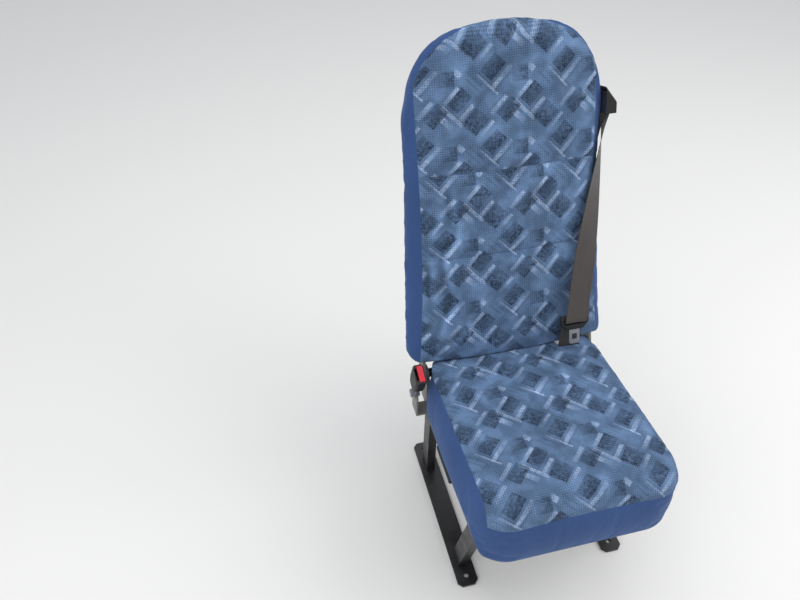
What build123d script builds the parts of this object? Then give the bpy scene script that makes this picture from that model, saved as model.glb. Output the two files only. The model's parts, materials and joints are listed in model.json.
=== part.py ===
from build123d import *
import math
import os

# Minibus passenger seat with its lap-and-shoulder belt, in millimetres.
# It faces -Y. +X is the wall side with the belt guide, -X the aisle side with the buckle.
# The origin is on the floor, in the middle of the four floor bolts.

# Overall layout
SEAT_WIDTH = 410.0           # over the cushion's sides
FRAME_HEIGHT = 295.0         # floor to the top of the side rails
PADDING_REAR = 105.0         # from the side rails up to the junction of cushion and backrest
FRONT_RISE = 28.0            # cushion's front roll above the junction
JUNCTION_Y = 100.0           # lower front edge of the backrest
CUSHION_LENGTH = 395.0
BACK_LEAN = 18.0             # backrest from the vertical, degrees
RUN_GAP = 5.0                # between a moving piece and its neighbour
SEAT_GAP = 0.3               # between a soft piece and what carries it

# Backrest cushion
BACK_LENGTH = 674.0          # along the lean
BACK_INSET = 2.5             # narrower than the cushion on each side
BACK_SIDE_BULGE = 20.0       # how far the plain side panel stands out past the seams
BACK_DEPTH = 105.0
BACK_FRONT_CROWN = 18.0
BACK_REAR_CROWN = 6.0
BACK_TOP_DEPTH = 52.0
BACK_TAPER_START = 300.0     # height at which the rear starts to lean forward
BACK_TOP_RADIUS = 22.0
BACK_REAR_RADIUS = 400.0
BACK_FOOT_RADIUS = 14.0
BACK_CORNER_RADIUS = 18.0
CROWN_HALF = 83.0            # flat middle of the crown, to the side panels' tips
CROWN_DROP = 8.0
SHOULDER_INSET = 22.5
SHOULDER_DROP = 88.0
FLANK_DROP = 206.0
BACK_FLARE = 22.0            # how much wider on each side the foot is
BACK_FLARE_TOP = 380.0       # height at which the sides start to spread

# Seat cushion
SEAT_SIDE_BULGE = 17.0
SEAT_TOP_CROWN = 12.0
SEAT_DEPTH = 165.0           # padding and border from the top down
SEAT_FRONT_ROLL = 42.0       # radius of the rounded front edge
SEAT_REAR_ROLL = 12.0
SEAT_FRONT_CORNER = 72.0
SEAT_REAR_CORNER = 42.0
SEAT_FRONT_SKIRT = 27.0      # border below the rails' top at the front
SEAT_REAR_STEP = 5.0         # and its edge above them at the rear
SEAT_LOW_FLAT = 120.0        # how far back the border's lower edge stays level
SEAT_SKIRT = 19.0            # thickness of the border that hangs past the pan

# Side frames: floor rail, two legs and a side rail on each side
RAIL_PLAY = 2.0              # between a rail and the cushion's border
RAIL_WIDTH = 25.0
RAIL_HEIGHT = 40.0
RAIL_FRONT_INSET = 50.0      # behind the cushion's front
RAIL_REAR_REACH = 22.0       # behind the recline pivot
TUBE_WALL = 2.0
LEG_DEPTH = 40.0             # along Y
LEG_WIDTH = 20.0             # along X
FRONT_LEG_INSET = 45.0       # leg's top behind the rail's front end
REAR_LEG_INSET = 30.0        # leg's top ahead of the rail's rear end
FRONT_LEG_FOOT_Y = -130.0
REAR_LEG_FOOT_Y = 132.0
FLOOR_RAIL_WIDTH = 46.0
FLOOR_RAIL_THICK = 6.0
FLOOR_RAIL_END = 23.0        # past the bolt holes
FLOOR_BOLT_Y = 175.0         # floor bolts lie at plus and minus this
FLOOR_BOLT_HOLE = 11.0
CROSS_TUBE_DIA = 25.0
CROSS_TUBE_INSET = 60.0      # front tube behind the rail's front end
CROSS_TUBE_RISE = 5.5        # above the rails' lower faces

# Pressed pan under the cushion
PAN_THICK = 1.5
PAN_SIDE_INSET = 2.0
PAN_FRONT_INSET = 30.0
PAN_REAR_INSET = 7.0
PAN_LIP = 12.0
BEAD_DEPTH = 4.0
BEAD_WIDTH = 22.0
BEAD_LENGTH = 240.0

# Recline hinge
PIVOT_BACK = 30.0            # behind the junction
PIVOT_RISE = 51.0            # above the side rails
SHAFT_DIA = 20.0
SHAFT_WALL = 3.0
SHAFT_CLEARANCE = 0.05
PLATE_THICK = 6.0
PLATE_EAR = 20.0             # radius of the hinge plate round the shaft
PLATE_FORWARD = 90.0         # ahead of the pivot
PLATE_EDGE = 3.0             # plate stops short of the rail's edges
ARM_GAP = 0.5                # between hinge plate and arm
ARM_THICK = 6.0
ARM_FOOT = 22.0              # radius of the arm round the shaft
ARM_TIP = 16.0
ARM_TIP_BACK = 55.0
ARM_TIP_UP = 95.0
PIVOT_BOLT_DIA = 8.0
PIVOT_BOLT_LENGTH = 18.0
PIVOT_HEAD_FLATS = 17.0
PIVOT_HEAD_THICK = 5.5

# Recliner lever
LEVER_INSET = 22.0           # its boss behind the hinge plate's front edge
LEVER_RISE = 11.0            # above the rail's lower face
LEVER_THICK = 3.0
LEVER_WIDTH = 14.0
LEVER_LENGTH = 150.0
GRIP_LENGTH = 92.0
GRIP_HEIGHT = 15.0
GRIP_THICK = 13.0
GRIP_BEVEL = 3.0

# Belt webbing
WEB_WIDTH = 48.0
WEB_THICK = 1.2

# Belt guide on the backrest's wall side
GUIDE_UP = 495.0             # height of the guide's bar along the lean
GUIDE_BACK = 42.0            # its middle behind the face
GUIDE_STANDOFF = 11.5        # bar's middle from the padding's side
GUIDE_BAR_DIA = 8.0
GUIDE_BAR_LENGTH = 54.0
GUIDE_PLATE_THICK = 2.5
GUIDE_PLATE_DROP = 11.0      # below the bar
GUIDE_PLATE_EDGE = 6.0       # past the bolt's head
GUIDE_EAR_THICK = 3.0
GUIDE_EAR_REACH = 6.0
GUIDE_BOLT_RISE = 17.0       # above the bar
GUIDE_BOLT_FLATS = 12.0
GUIDE_BOLT_DIA = 6.0
GUIDE_BOLT_HEAD = 3.0
HOOD_WALL = 2.0
HOOD_PLAY = 4.5              # between the ears and the hood's outer wall
HOOD_RISE = 10.0             # hood's apex above the plate
HOOD_DROP = 13.0             # hood's lower edge below the bar
HOOD_RIDGE_ROUND = 9.0
HOOD_RIM_ROUND = 3.5
WRAP_PLAY = 0.4              # between the webbing and the bar
REAR_STRAND_DROP = 45.0      # below the bar where the rear strand comes to lie along the side
REAR_STRAND_TURN = 195.0     # below the bar where it takes its lower slant
UPPER_SLANT = 21.5           # rearward from the lean, degrees
LOWER_SLANT = 3.8
SIDE_PLAY = 0.6              # between the webbing and the padding's side

# Tongue, hanging above the junction
TONGUE_FORWARD = 8.0         # ahead of the junction
TONGUE_RISE = 64.0           # above it
TONGUE_LEAN = 20.0
TONGUE_THICK = 2.5
HEAD_WIDTH = 65.0
HEAD_HEIGHT = 32.0
HEAD_THICK = 9.0
HEAD_SHOULDER = 3.0          # below the slot's middle where the head starts to narrow
HEAD_FOOT_WIDTH = 40.0
HEAD_CORNER = 6.0
HEAD_BEVEL = 2.2
HEAD_COVER = 4.0             # moulding past the steel's edge
HEAD_SLOT = 51.0
HEAD_SLOT_HEIGHT = 6.5
SLOT_SLANT = 30.0            # downward path of the webbing through the slot, degrees
SLOT_REACH = 9.0             # from the slot's middle to where the webbing turns
BLADE_WIDTH = 24.0
BLADE_LENGTH = 50.0
BLADE_CORNER = 6.0
WINDOW_WIDTH = 11.0
WINDOW_HEIGHT = 13.0
WINDOW_CORNER = 1.5
WINDOW_DROP = 33.0

# Lower anchor under the cushion's rear edge
LOOP_RISE = 14.0             # bar that the webbing loops round, above the rear cross tube's middle
LOOP_BAR = 8.0
ANCHOR_PLATE_THICK = 3.0
ANCHOR_PLATE_WIDTH = 58.0
ANCHOR_PLATE_CORNER = 6.0
ANCHOR_PLATE_PLAY = 2.0      # between the plate and the side rail
ANCHOR_SLOT_PLAY = 2.0       # round the looped webbing
ANCHOR_BOLT_DROP = 27.0      # below the rear cross tube's middle
ANCHOR_BOLT_DIA = 10.0
ANCHOR_HEAD_FLATS = 17.0
ANCHOR_HEAD_THICK = 5.0
ANCHOR_NUT_THICK = 7.0
ANCHOR_TAB_THICK = 4.0
ANCHOR_TAB_WIDTH = 40.0
ANCHOR_TAB_LAP = 0.5         # how far the tab is let into the cross tube

# Retractor behind the wall-side rail
RETRACTOR_UP = -60.0         # its mouth from the junction, along the lean
RETRACTOR_HEIGHT = 60.0
RETRACTOR_WIDTH = 58.0
RETRACTOR_SHEET = 2.5
RETRACTOR_ARM = 4.0
SPOOL_DIA = 38.0

# Buckle on the aisle side
BUCKLE_GAP = 6.0             # between the buckle and the cushion's side
BUCKLE_BOLT_FORWARD = 28.0   # ahead of the recline pivot
BUCKLE_BOLT_RISE = 27.0      # above the side rails
BUCKLE_LEAN = 22.0           # forward, degrees
BUCKLE_BOLT_DIA = 10.0
BUCKLE_HEAD_FLATS = 17.0
BUCKLE_HEAD_THICK = 6.0
BUCKLE_STRAP_THICK = 3.0
BUCKLE_STRAP_WIDTH = 26.0
BUCKLE_STRAP_PLAY = 0.3
BUCKLE_WIDTH = 42.0
BUCKLE_THICK = 22.0
BUCKLE_LOW = 44.0            # body's lower end above the bolt
BUCKLE_TOP = 112.0
BUCKLE_FOOT_WIDTH = 30.0
BUCKLE_TAPER = 24.0          # height over which the body narrows to its foot
BUCKLE_CORNER = 10.0
BUCKLE_BEVEL = 3.5
BUTTON_LENGTH = 35.0
BUTTON_WIDTH = 12.0
BUTTON_DEPTH = 14.0
BUTTON_RISE = 1.5
BUTTON_EDGE = 2.5            # from the button to the body's inner face
BUTTON_PLAY = 0.2
BUCKLE_SLOT = 27.0
BUCKLE_SLOT_WIDTH = 4.4
BUCKLE_SLOT_EDGE = 2.2       # from the slot to the body's outer face
BUCKLE_SLOT_DEPTH = 16.0
BRACKET_THICK = 4.0
BRACKET_WIDTH = 36.0
BRACKET_RISE = 7.0           # above the rail's lower face

SIDES = (("aisle", -1), ("wall", 1))

# Worked out from the sizes above: heights and depths
JUNCTION_Z = FRAME_HEIGHT + PADDING_REAR
CUSHION_REAR_Y = JUNCTION_Y - RUN_GAP
CUSHION_FRONT_Y = CUSHION_REAR_Y - CUSHION_LENGTH
CUSHION_FRONT_Z = JUNCTION_Z + FRONT_RISE
SEAT_FRONT_LOW = FRAME_HEIGHT - SEAT_FRONT_SKIRT
SEAT_REAR_LOW = FRAME_HEIGHT + SEAT_REAR_STEP
RAIL_LOW = FRAME_HEIGHT - RAIL_HEIGHT
PIVOT_Y = JUNCTION_Y + PIVOT_BACK
PIVOT_Z = FRAME_HEIGHT + PIVOT_RISE
RAIL_FRONT_Y = CUSHION_FRONT_Y + RAIL_FRONT_INSET
RAIL_REAR_Y = PIVOT_Y + RAIL_REAR_REACH
PAN_FRONT_Y = CUSHION_FRONT_Y + PAN_FRONT_INSET
PAN_REAR_Y = CUSHION_REAR_Y - PAN_REAR_INSET
PLATE_FRONT_Y = PIVOT_Y - PLATE_FORWARD
LEVER_Y = PLATE_FRONT_Y + LEVER_INSET
LEVER_Z = RAIL_LOW + LEVER_RISE
LAP_Y = JUNCTION_Y - RUN_GAP / 2
TAB_FRONT_Y = LAP_Y + ANCHOR_PLATE_THICK / 2
CROSS_TUBE_Z = RAIL_LOW + CROSS_TUBE_RISE + CROSS_TUBE_DIA / 2
CROSS_TUBE_FRONT_Y = RAIL_FRONT_Y + CROSS_TUBE_INSET
CROSS_TUBE_REAR_Y = TAB_FRONT_Y + CROSS_TUBE_DIA / 2 + ANCHOR_TAB_LAP
LOOP_Z = CROSS_TUBE_Z + LOOP_RISE
ANCHOR_BOLT_Z = CROSS_TUBE_Z - ANCHOR_BOLT_DROP
TONGUE_Y = JUNCTION_Y - TONGUE_FORWARD
TONGUE_Z = JUNCTION_Z + TONGUE_RISE
BUCKLE_BOLT_Y = PIVOT_Y - BUCKLE_BOLT_FORWARD
BUCKLE_BOLT_Z = FRAME_HEIGHT + BUCKLE_BOLT_RISE
BRACKET_Z = RAIL_LOW + BRACKET_RISE
GUIDE_BOLT_UP = GUIDE_UP + GUIDE_BOLT_RISE
GUIDE_TOP = GUIDE_BOLT_UP + GUIDE_BOLT_FLATS / 2 + GUIDE_PLATE_EDGE
GUIDE_LOW = GUIDE_UP - GUIDE_PLATE_DROP
HOOD_APEX = GUIDE_TOP + HOOD_RISE
HOOD_SHOULDER = GUIDE_UP + GUIDE_EAR_REACH + HOOD_PLAY / 2
HOOD_LOW = GUIDE_UP - HOOD_DROP

# Worked out from the sizes above: places across the seat
SEAT_HALF = SEAT_WIDTH / 2
SEAT_SEAM_HALF = SEAT_HALF - SEAT_SIDE_BULGE
BACK_HALF = SEAT_HALF - BACK_INSET
BACK_SEAM_HALF = BACK_HALF - BACK_SIDE_BULGE
FOOT_HALF = BACK_HALF + BACK_FLARE
SHOULDER_X = BACK_HALF - SHOULDER_INSET
RAIL_OUTER = SEAT_HALF - SEAT_SKIRT - RAIL_PLAY
RAIL_INNER = RAIL_OUTER - RAIL_WIDTH
RAIL_X = RAIL_OUTER - RAIL_WIDTH / 2
PAN_HALF = RAIL_OUTER - PAN_SIDE_INSET
PLATE_OUTER = RAIL_OUTER + PLATE_THICK
ARM_INNER = PLATE_OUTER + ARM_GAP
ARM_OUTER = ARM_INNER + ARM_THICK
TONGUE_X = RAIL_INNER - ANCHOR_PLATE_PLAY - ANCHOR_PLATE_WIDTH / 2
GUIDE_OUT = BACK_HALF + GUIDE_STANDOFF
HOOD_OUT = GUIDE_OUT + GUIDE_EAR_REACH + HOOD_PLAY + HOOD_WALL
WRAP_RADIUS = GUIDE_BAR_DIA / 2 + WRAP_PLAY + WEB_THICK / 2
WEB_INNER_X = GUIDE_OUT - WRAP_RADIUS
WEB_OUTER_X = GUIDE_OUT + WRAP_RADIUS
WEB_SIDE_X = BACK_HALF + SIDE_PLAY + WEB_THICK / 2
BUCKLE_OUT = SEAT_HALF + BUCKLE_GAP + BUCKLE_THICK / 2
STRAP_X = BUCKLE_OUT - BUCKLE_STRAP_THICK / 2
BRACKET_X = STRAP_X - BUCKLE_STRAP_PLAY
BACK_PLACE = Location((0, JUNCTION_Y, JUNCTION_Z), (-BACK_LEAN, 0, 0))
TONGUE_PLACE = Location((TONGUE_X, TONGUE_Y, TONGUE_Z), (-TONGUE_LEAN, 0, 0))
BUCKLE_PLACE = Location((0, BUCKLE_BOLT_Y, BUCKLE_BOLT_Z), (BUCKLE_LEAN, 0, 0))


def to_back(y, z):
    """Rearward and upward distance of a point of the seat in the backrest's frame."""
    lean = math.radians(BACK_LEAN)
    dy = y - JUNCTION_Y
    dz = z - JUNCTION_Z
    return dy * math.cos(lean) - dz * math.sin(lean), dy * math.sin(lean) + dz * math.cos(lean)


def block(x_from, x_to, y_from, y_to, z_from, z_to):
    """Box between two corners."""
    centre = Pos((x_from + x_to) / 2, (y_from + y_to) / 2, (z_from + z_to) / 2)
    return centre * Box(abs(x_to - x_from), abs(y_to - y_from), abs(z_to - z_from))


def rod_x(diameter, x_from, x_to, y, z):
    """Cylinder along X."""
    return Pos((x_from + x_to) / 2, y, z) * Rot(0, 90, 0) * Cylinder(diameter / 2, abs(x_to - x_from))


def rod_y(diameter, y_from, y_to, x, z):
    """Cylinder along Y."""
    return Pos(x, (y_from + y_to) / 2, z) * Rot(90, 0, 0) * Cylinder(diameter / 2, abs(y_to - y_from))


def hex_x(flats, x_from, x_to, y, z):
    """Hexagon head or nut along X, by its width over the flats."""
    return plate_x(Pos(y, z) * RegularPolygon(flats / 2, 6, major_radius=False), x_from, x_to)


def hex_y(flats, y_from, y_to, x, z):
    """Hexagon head or nut along Y, by its width over the flats."""
    return plate_y(Pos(x, z) * RegularPolygon(flats / 2, 6, major_radius=False), y_from, y_to)


def plate_x(outline, x_from, x_to):
    """Plate parallel to the YZ plane, from an outline drawn in (y, z)."""
    return Pos(min(x_from, x_to), 0, 0) * extrude(Plane.YZ * outline, amount=abs(x_to - x_from))


def plate_y(outline, y_from, y_to):
    """Plate parallel to the XZ plane, from an outline drawn in (x, z)."""
    return Pos(0, max(y_from, y_to), 0) * extrude(Plane.XZ * outline, amount=abs(y_to - y_from))


def pillow_section(seam_half, bulge, near, near_crown, far, far_crown):
    """Section of a padded piece: four arcs that meet at its seams."""
    near_seam = near + near_crown
    far_seam = far - far_crown
    middle = (near_seam + far_seam) / 2
    outer = seam_half + bulge
    return make_face([
        ThreePointArc((-seam_half, near_seam), (0, near), (seam_half, near_seam)),
        ThreePointArc((seam_half, near_seam), (outer, middle), (seam_half, far_seam)),
        ThreePointArc((seam_half, far_seam), (0, far), (-seam_half, far_seam)),
        ThreePointArc((-seam_half, far_seam), (-outer, middle), (-seam_half, near_seam)),
    ])


def backrest_outline():
    """Front view of the backrest: crown, shoulder and flank arcs over sides that spread to the foot."""
    crown = TangentArc((0, BACK_LENGTH), (CROWN_HALF, BACK_LENGTH - CROWN_DROP), tangent=(1, 0))
    shoulder = TangentArc(crown @ 1, (SHOULDER_X, BACK_LENGTH - SHOULDER_DROP), tangent=crown % 1)
    flank = TangentArc(shoulder @ 1, (BACK_HALF, BACK_LENGTH - FLANK_DROP), tangent=shoulder % 1)
    side = Line(flank @ 1, (BACK_HALF, BACK_FLARE_TOP))
    flare = Line(side @ 1, (FOOT_HALF, 0))
    foot = Line((FOOT_HALF, 0), (0, 0))
    half = make_face([crown, shoulder, flank, side, flare, foot, Line((0, 0), (0, BACK_LENGTH))])
    half = fillet(half.vertices().sort_by_distance((FOOT_HALF, 0))[0], BACK_CORNER_RADIUS)
    return half + half.mirror(Plane.YZ)


def backrest_profile():
    """Side view of the backrest: upright face, rear that tapers to a rounded crown."""
    outline = Polygon(
        (0, 0),
        (0, BACK_LENGTH),
        (BACK_TOP_DEPTH, BACK_LENGTH),
        (BACK_DEPTH, BACK_TAPER_START),
        (BACK_DEPTH, 0),
        align=None,
    )
    outline = fillet(outline.vertices().group_by(Axis.Y)[-1], BACK_TOP_RADIUS)
    outline = fillet(outline.vertices().group_by(Axis.Y)[0], BACK_FOOT_RADIUS)
    knee = outline.vertices().sort_by_distance((BACK_DEPTH, BACK_TAPER_START))[0]
    return fillet(knee, BACK_REAR_RADIUS)


def arm_outline(clearance=0.0):
    """Back arm in the backrest's frame: round foot about the shaft, rounded tip in the padding."""
    pivot_back, pivot_up = to_back(PIVOT_Y, PIVOT_Z)
    foot = Pos(pivot_back, pivot_up) * Circle(ARM_FOOT + clearance)
    tip = Pos(ARM_TIP_BACK, ARM_TIP_UP) * Circle(ARM_TIP + clearance)
    return make_hull((foot + tip).edges())


def backrest_slab():
    """Crowned face and rear, wider than the backrest."""
    half = FOOT_HALF - BACK_SIDE_BULGE
    section = make_face([
        ThreePointArc((-half, BACK_FRONT_CROWN), (0, 0), (half, BACK_FRONT_CROWN)),
        Line((half, BACK_FRONT_CROWN), (FOOT_HALF, BACK_FRONT_CROWN)),
        Line((FOOT_HALF, BACK_FRONT_CROWN), (FOOT_HALF, BACK_DEPTH - BACK_REAR_CROWN)),
        Line((FOOT_HALF, BACK_DEPTH - BACK_REAR_CROWN), (half, BACK_DEPTH - BACK_REAR_CROWN)),
        ThreePointArc((half, BACK_DEPTH - BACK_REAR_CROWN), (0, BACK_DEPTH), (-half, BACK_DEPTH - BACK_REAR_CROWN)),
        Line((-half, BACK_DEPTH - BACK_REAR_CROWN), (-FOOT_HALF, BACK_DEPTH - BACK_REAR_CROWN)),
        Line((-FOOT_HALF, BACK_DEPTH - BACK_REAR_CROWN), (-FOOT_HALF, BACK_FRONT_CROWN)),
        Line((-FOOT_HALF, BACK_FRONT_CROWN), (-half, BACK_FRONT_CROWN)),
    ])
    return extrude(section, amount=BACK_LENGTH)


def backrest_sides():
    """Form with both bulging sides: upright above, slanting outwards to the foot below."""
    share = (BACK_SEAM_HALF / (FOOT_HALF - BACK_SIDE_BULGE)) ** 2
    near = BACK_FRONT_CROWN * share
    far = BACK_DEPTH - BACK_REAR_CROWN * share
    thick = (far - near) / 2
    radius = (thick ** 2 + BACK_SIDE_BULGE ** 2) / (2 * BACK_SIDE_BULGE)
    section = Pos(-radius, (near + far) / 2) * Circle(radius)
    section = section + Pos(-radius - BACK_HALF / 2, BACK_DEPTH / 2) * Rectangle(BACK_HALF, BACK_DEPTH)
    slant = math.atan2(BACK_FLARE, BACK_FLARE_TOP)
    mitre = Plane(origin=(0, 0, 0), z_dir=(-math.sin(slant / 2), 0, math.cos(slant / 2)))
    straight = extrude(section, amount=BACK_LENGTH, both=True)
    above = split(straight, bisect_by=mitre, keep=Keep.TOP)
    below = split(Rot(0, -math.degrees(slant), 0) * straight, bisect_by=mitre, keep=Keep.BOTTOM)
    half = Pos(BACK_HALF, 0, BACK_FLARE_TOP) * (above + below)
    return half + half.mirror(Plane.YZ)


def backrest_cushion():
    """Padding and cover, with a slot on each side for the back arm."""
    body = backrest_slab() & backrest_sides()
    body = body & extrude(Plane.YZ * backrest_profile(), amount=FOOT_HALF, both=True)
    body = body & extrude(Plane.XZ * backrest_outline(), amount=BACK_DEPTH, both=True)
    for side, sign in SIDES:
        near = sign * (ARM_INNER - SEAT_GAP)
        far = sign * (ARM_OUTER + SEAT_GAP)
        body = body - plate_x(arm_outline(SEAT_GAP), near, far)
    return BACK_PLACE * body


def back_arm(sign):
    """Flat arm that carries the backrest on the shaft's end."""
    pivot_back, pivot_up = to_back(PIVOT_Y, PIVOT_Z)
    body = plate_x(arm_outline(), sign * ARM_INNER, sign * ARM_OUTER)
    hole = rod_x(PIVOT_BOLT_DIA, sign * (ARM_INNER - 1), sign * (ARM_OUTER + 1), pivot_back, pivot_up)
    return BACK_PLACE * (body - hole)


def cross_shaft():
    """Tube through both hinge plates, with an arm welded on each end."""
    tube = rod_x(SHAFT_DIA, -ARM_INNER, ARM_INNER, PIVOT_Y, PIVOT_Z)
    return tube - rod_x(SHAFT_DIA - 2 * SHAFT_WALL, -ARM_INNER, ARM_INNER, PIVOT_Y, PIVOT_Z)


def pivot_bolt(sign):
    """Bolt that closes the shaft's end over the arm."""
    head_end = sign * (ARM_OUTER + PIVOT_HEAD_THICK)
    head = hex_x(PIVOT_HEAD_FLATS, sign * ARM_OUTER, head_end, PIVOT_Y, PIVOT_Z)
    shank = rod_x(PIVOT_BOLT_DIA, sign * (ARM_OUTER - PIVOT_BOLT_LENGTH), sign * ARM_OUTER, PIVOT_Y, PIVOT_Z)
    return head + shank


def seat_cushion():
    """Padding, patterned top and plain border, hollowed below for the pan and the rails."""
    slope = math.atan2(CUSHION_FRONT_Z - JUNCTION_Z, CUSHION_REAR_Y - CUSHION_FRONT_Y)
    length = CUSHION_REAR_Y - CUSHION_FRONT_Y
    top_down = pillow_section(SEAT_SEAM_HALF, SEAT_SIDE_BULGE, -SEAT_DEPTH, 0.1, 0, SEAT_TOP_CROWN)
    body = extrude(Plane.XZ * top_down, amount=2 * length, both=True)
    body = Location((0, CUSHION_REAR_Y, JUNCTION_Z), (-math.degrees(slope), 0, 0)) * body
    side = Polygon(
        (CUSHION_FRONT_Y, SEAT_FRONT_LOW),
        (CUSHION_FRONT_Y + SEAT_LOW_FLAT, SEAT_FRONT_LOW),
        (CUSHION_REAR_Y, SEAT_REAR_LOW),
        (CUSHION_REAR_Y, JUNCTION_Z + 1),
        (CUSHION_FRONT_Y, CUSHION_FRONT_Z + 1),
        align=None,
    )
    front_top = side.vertices().sort_by_distance((CUSHION_FRONT_Y, CUSHION_FRONT_Z))[0]
    side = fillet(front_top, SEAT_FRONT_ROLL)
    rear_top = side.vertices().sort_by_distance((CUSHION_REAR_Y, JUNCTION_Z))[0]
    side = fillet(rear_top, SEAT_REAR_ROLL)
    body = body & extrude(Plane.YZ * side, amount=SEAT_HALF, both=True)
    plan = Pos(0, (CUSHION_FRONT_Y + CUSHION_REAR_Y) / 2) * Rectangle(2 * SEAT_HALF, length)
    plan = fillet(plan.vertices().group_by(Axis.Y)[0], SEAT_FRONT_CORNER)
    plan = fillet(plan.vertices().group_by(Axis.Y)[-1], SEAT_REAR_CORNER)
    body = body & extrude(plan, amount=CUSHION_FRONT_Z + SEAT_DEPTH)
    pocket_half = SEAT_HALF - SEAT_SKIRT
    pocket_front = PAN_FRONT_Y - PAN_THICK - SEAT_GAP
    pocket_top = FRAME_HEIGHT + PAN_THICK + SEAT_GAP
    pocket = block(-pocket_half, pocket_half, pocket_front, CUSHION_REAR_Y + 1, 0, pocket_top)
    return body - pocket


def bead_outline(inset):
    """Long bead with bevelled corners, at an inset from its outer edge."""
    outline = Rectangle(BEAD_LENGTH - 2 * inset, BEAD_WIDTH - 2 * inset)
    return chamfer(outline.vertices(), BEAD_WIDTH / 4)


def cushion_pan():
    """Pressed sheet on the side rails, with a front lip and two beads."""
    length = PAN_REAR_Y - PAN_FRONT_Y
    middle = (PAN_REAR_Y + PAN_FRONT_Y) / 2
    sheet = block(-PAN_HALF, PAN_HALF, PAN_FRONT_Y, PAN_REAR_Y, FRAME_HEIGHT, FRAME_HEIGHT + PAN_THICK)
    lip_low = FRAME_HEIGHT - PAN_LIP
    lip = block(-PAN_HALF, PAN_HALF, PAN_FRONT_Y - PAN_THICK, PAN_FRONT_Y, lip_low, FRAME_HEIGHT + PAN_THICK)
    pan = sheet + lip
    for row in (-1, 1):
        place = Pos(0, middle + row * length / 4, FRAME_HEIGHT - BEAD_DEPTH)
        outer = extrude(bead_outline(0), amount=BEAD_DEPTH)
        inner = Pos(0, 0, PAN_THICK) * extrude(bead_outline(PAN_THICK), amount=BEAD_DEPTH)
        pan = pan + place * outer - place * inner
    return pan


def side_rail(sign):
    """Rectangular tube with welded ends that carries the pan on one side."""
    low = sign * RAIL_INNER
    high = sign * RAIL_OUTER
    body = block(low, high, RAIL_FRONT_Y, RAIL_REAR_Y, RAIL_LOW, FRAME_HEIGHT)
    wall = TUBE_WALL
    y_from = RAIL_FRONT_Y + wall
    y_to = RAIL_REAR_Y - wall
    hollow = block(low + sign * wall, high - sign * wall, y_from, y_to, RAIL_LOW + wall, FRAME_HEIGHT - wall)
    return body - hollow


def leg(sign, top_y, foot_y):
    """Sloping rectangular tube from the floor rail up to the side rail."""
    rise = RAIL_LOW - FLOOR_RAIL_THICK
    run = top_y - foot_y
    section = Rectangle(LEG_WIDTH, LEG_DEPTH)
    section = section - Rectangle(LEG_WIDTH - 2 * TUBE_WALL, LEG_DEPTH - 2 * TUBE_WALL)
    section = Pos(sign * RAIL_X, foot_y, FLOOR_RAIL_THICK) * section
    return extrude(section, amount=math.hypot(rise, run), dir=(0, run, rise))


def floor_rail(sign):
    """Flat steel rail under two legs, with a floor bolt hole at each end."""
    outline = Rectangle(FLOOR_RAIL_WIDTH, 2 * (FLOOR_BOLT_Y + FLOOR_RAIL_END))
    outline = chamfer(outline.vertices(), FLOOR_RAIL_WIDTH / 5)
    for end in (-1, 1):
        outline = outline - Pos(0, end * FLOOR_BOLT_Y) * Circle(FLOOR_BOLT_HOLE / 2)
    return Pos(sign * RAIL_X, 0, 0) * extrude(outline, amount=FLOOR_RAIL_THICK)


def cross_tube(y):
    """Round tube between the side rails."""
    tube = rod_x(CROSS_TUBE_DIA, -RAIL_INNER, RAIL_INNER, y, CROSS_TUBE_Z)
    return tube - rod_x(CROSS_TUBE_DIA - 2 * TUBE_WALL, -RAIL_INNER, RAIL_INNER, y, CROSS_TUBE_Z)


def hinge_plate(sign):
    """Plate on the rail's outer face, rising to a round ear with the shaft's bore."""
    low = RAIL_LOW + PLATE_EDGE
    high = FRAME_HEIGHT - PLATE_EDGE
    middle = Pos((PLATE_FRONT_Y + RAIL_REAR_Y) / 2, (low + high) / 2)
    pad = middle * Rectangle(RAIL_REAR_Y - PLATE_FRONT_Y, high - low)
    ear = Pos(PIVOT_Y, PIVOT_Z) * Circle(PLATE_EAR)
    neck = Polygon(
        (PIVOT_Y - PLATE_EAR, high),
        (RAIL_REAR_Y, high),
        (PIVOT_Y + PLATE_EAR, PIVOT_Z),
        (PIVOT_Y - PLATE_EAR, PIVOT_Z),
        align=None,
    )
    outline = pad + neck + ear
    outline = outline - Pos(PIVOT_Y, PIVOT_Z) * Circle(SHAFT_DIA / 2 + SHAFT_CLEARANCE)
    return plate_x(outline, sign * RAIL_OUTER, sign * PLATE_OUTER)


def recliner_lever():
    """Flat lever on a boss of the aisle-side hinge plate, running forward under the cushion."""
    boss = rod_x(LEVER_WIDTH, -PLATE_OUTER - LEVER_THICK, -PLATE_OUTER, LEVER_Y, LEVER_Z)
    outline = Pos(LEVER_Y - LEVER_LENGTH / 2, LEVER_Z) * SlotCenterToCenter(LEVER_LENGTH, LEVER_WIDTH)
    bar = plate_x(outline, -PLATE_OUTER - 2 * LEVER_THICK, -PLATE_OUTER - LEVER_THICK)
    return boss + bar


def lever_grip():
    """Moulded grip over the lever's front end."""
    front = LEVER_Y - LEVER_LENGTH - LEVER_WIDTH
    middle = -PLATE_OUTER - LEVER_THICK * 3 / 2
    inner = middle + GRIP_THICK / 2
    half = GRIP_HEIGHT / 2
    body = block(inner - GRIP_THICK, inner, front, front + GRIP_LENGTH, LEVER_Z - half, LEVER_Z + half)
    body = chamfer(body.edges().filter_by(Axis.Y), GRIP_BEVEL)
    body = chamfer(body.faces().filter_by(Axis.Y).edges(), GRIP_BEVEL / 2)
    return body - recliner_lever()


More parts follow.
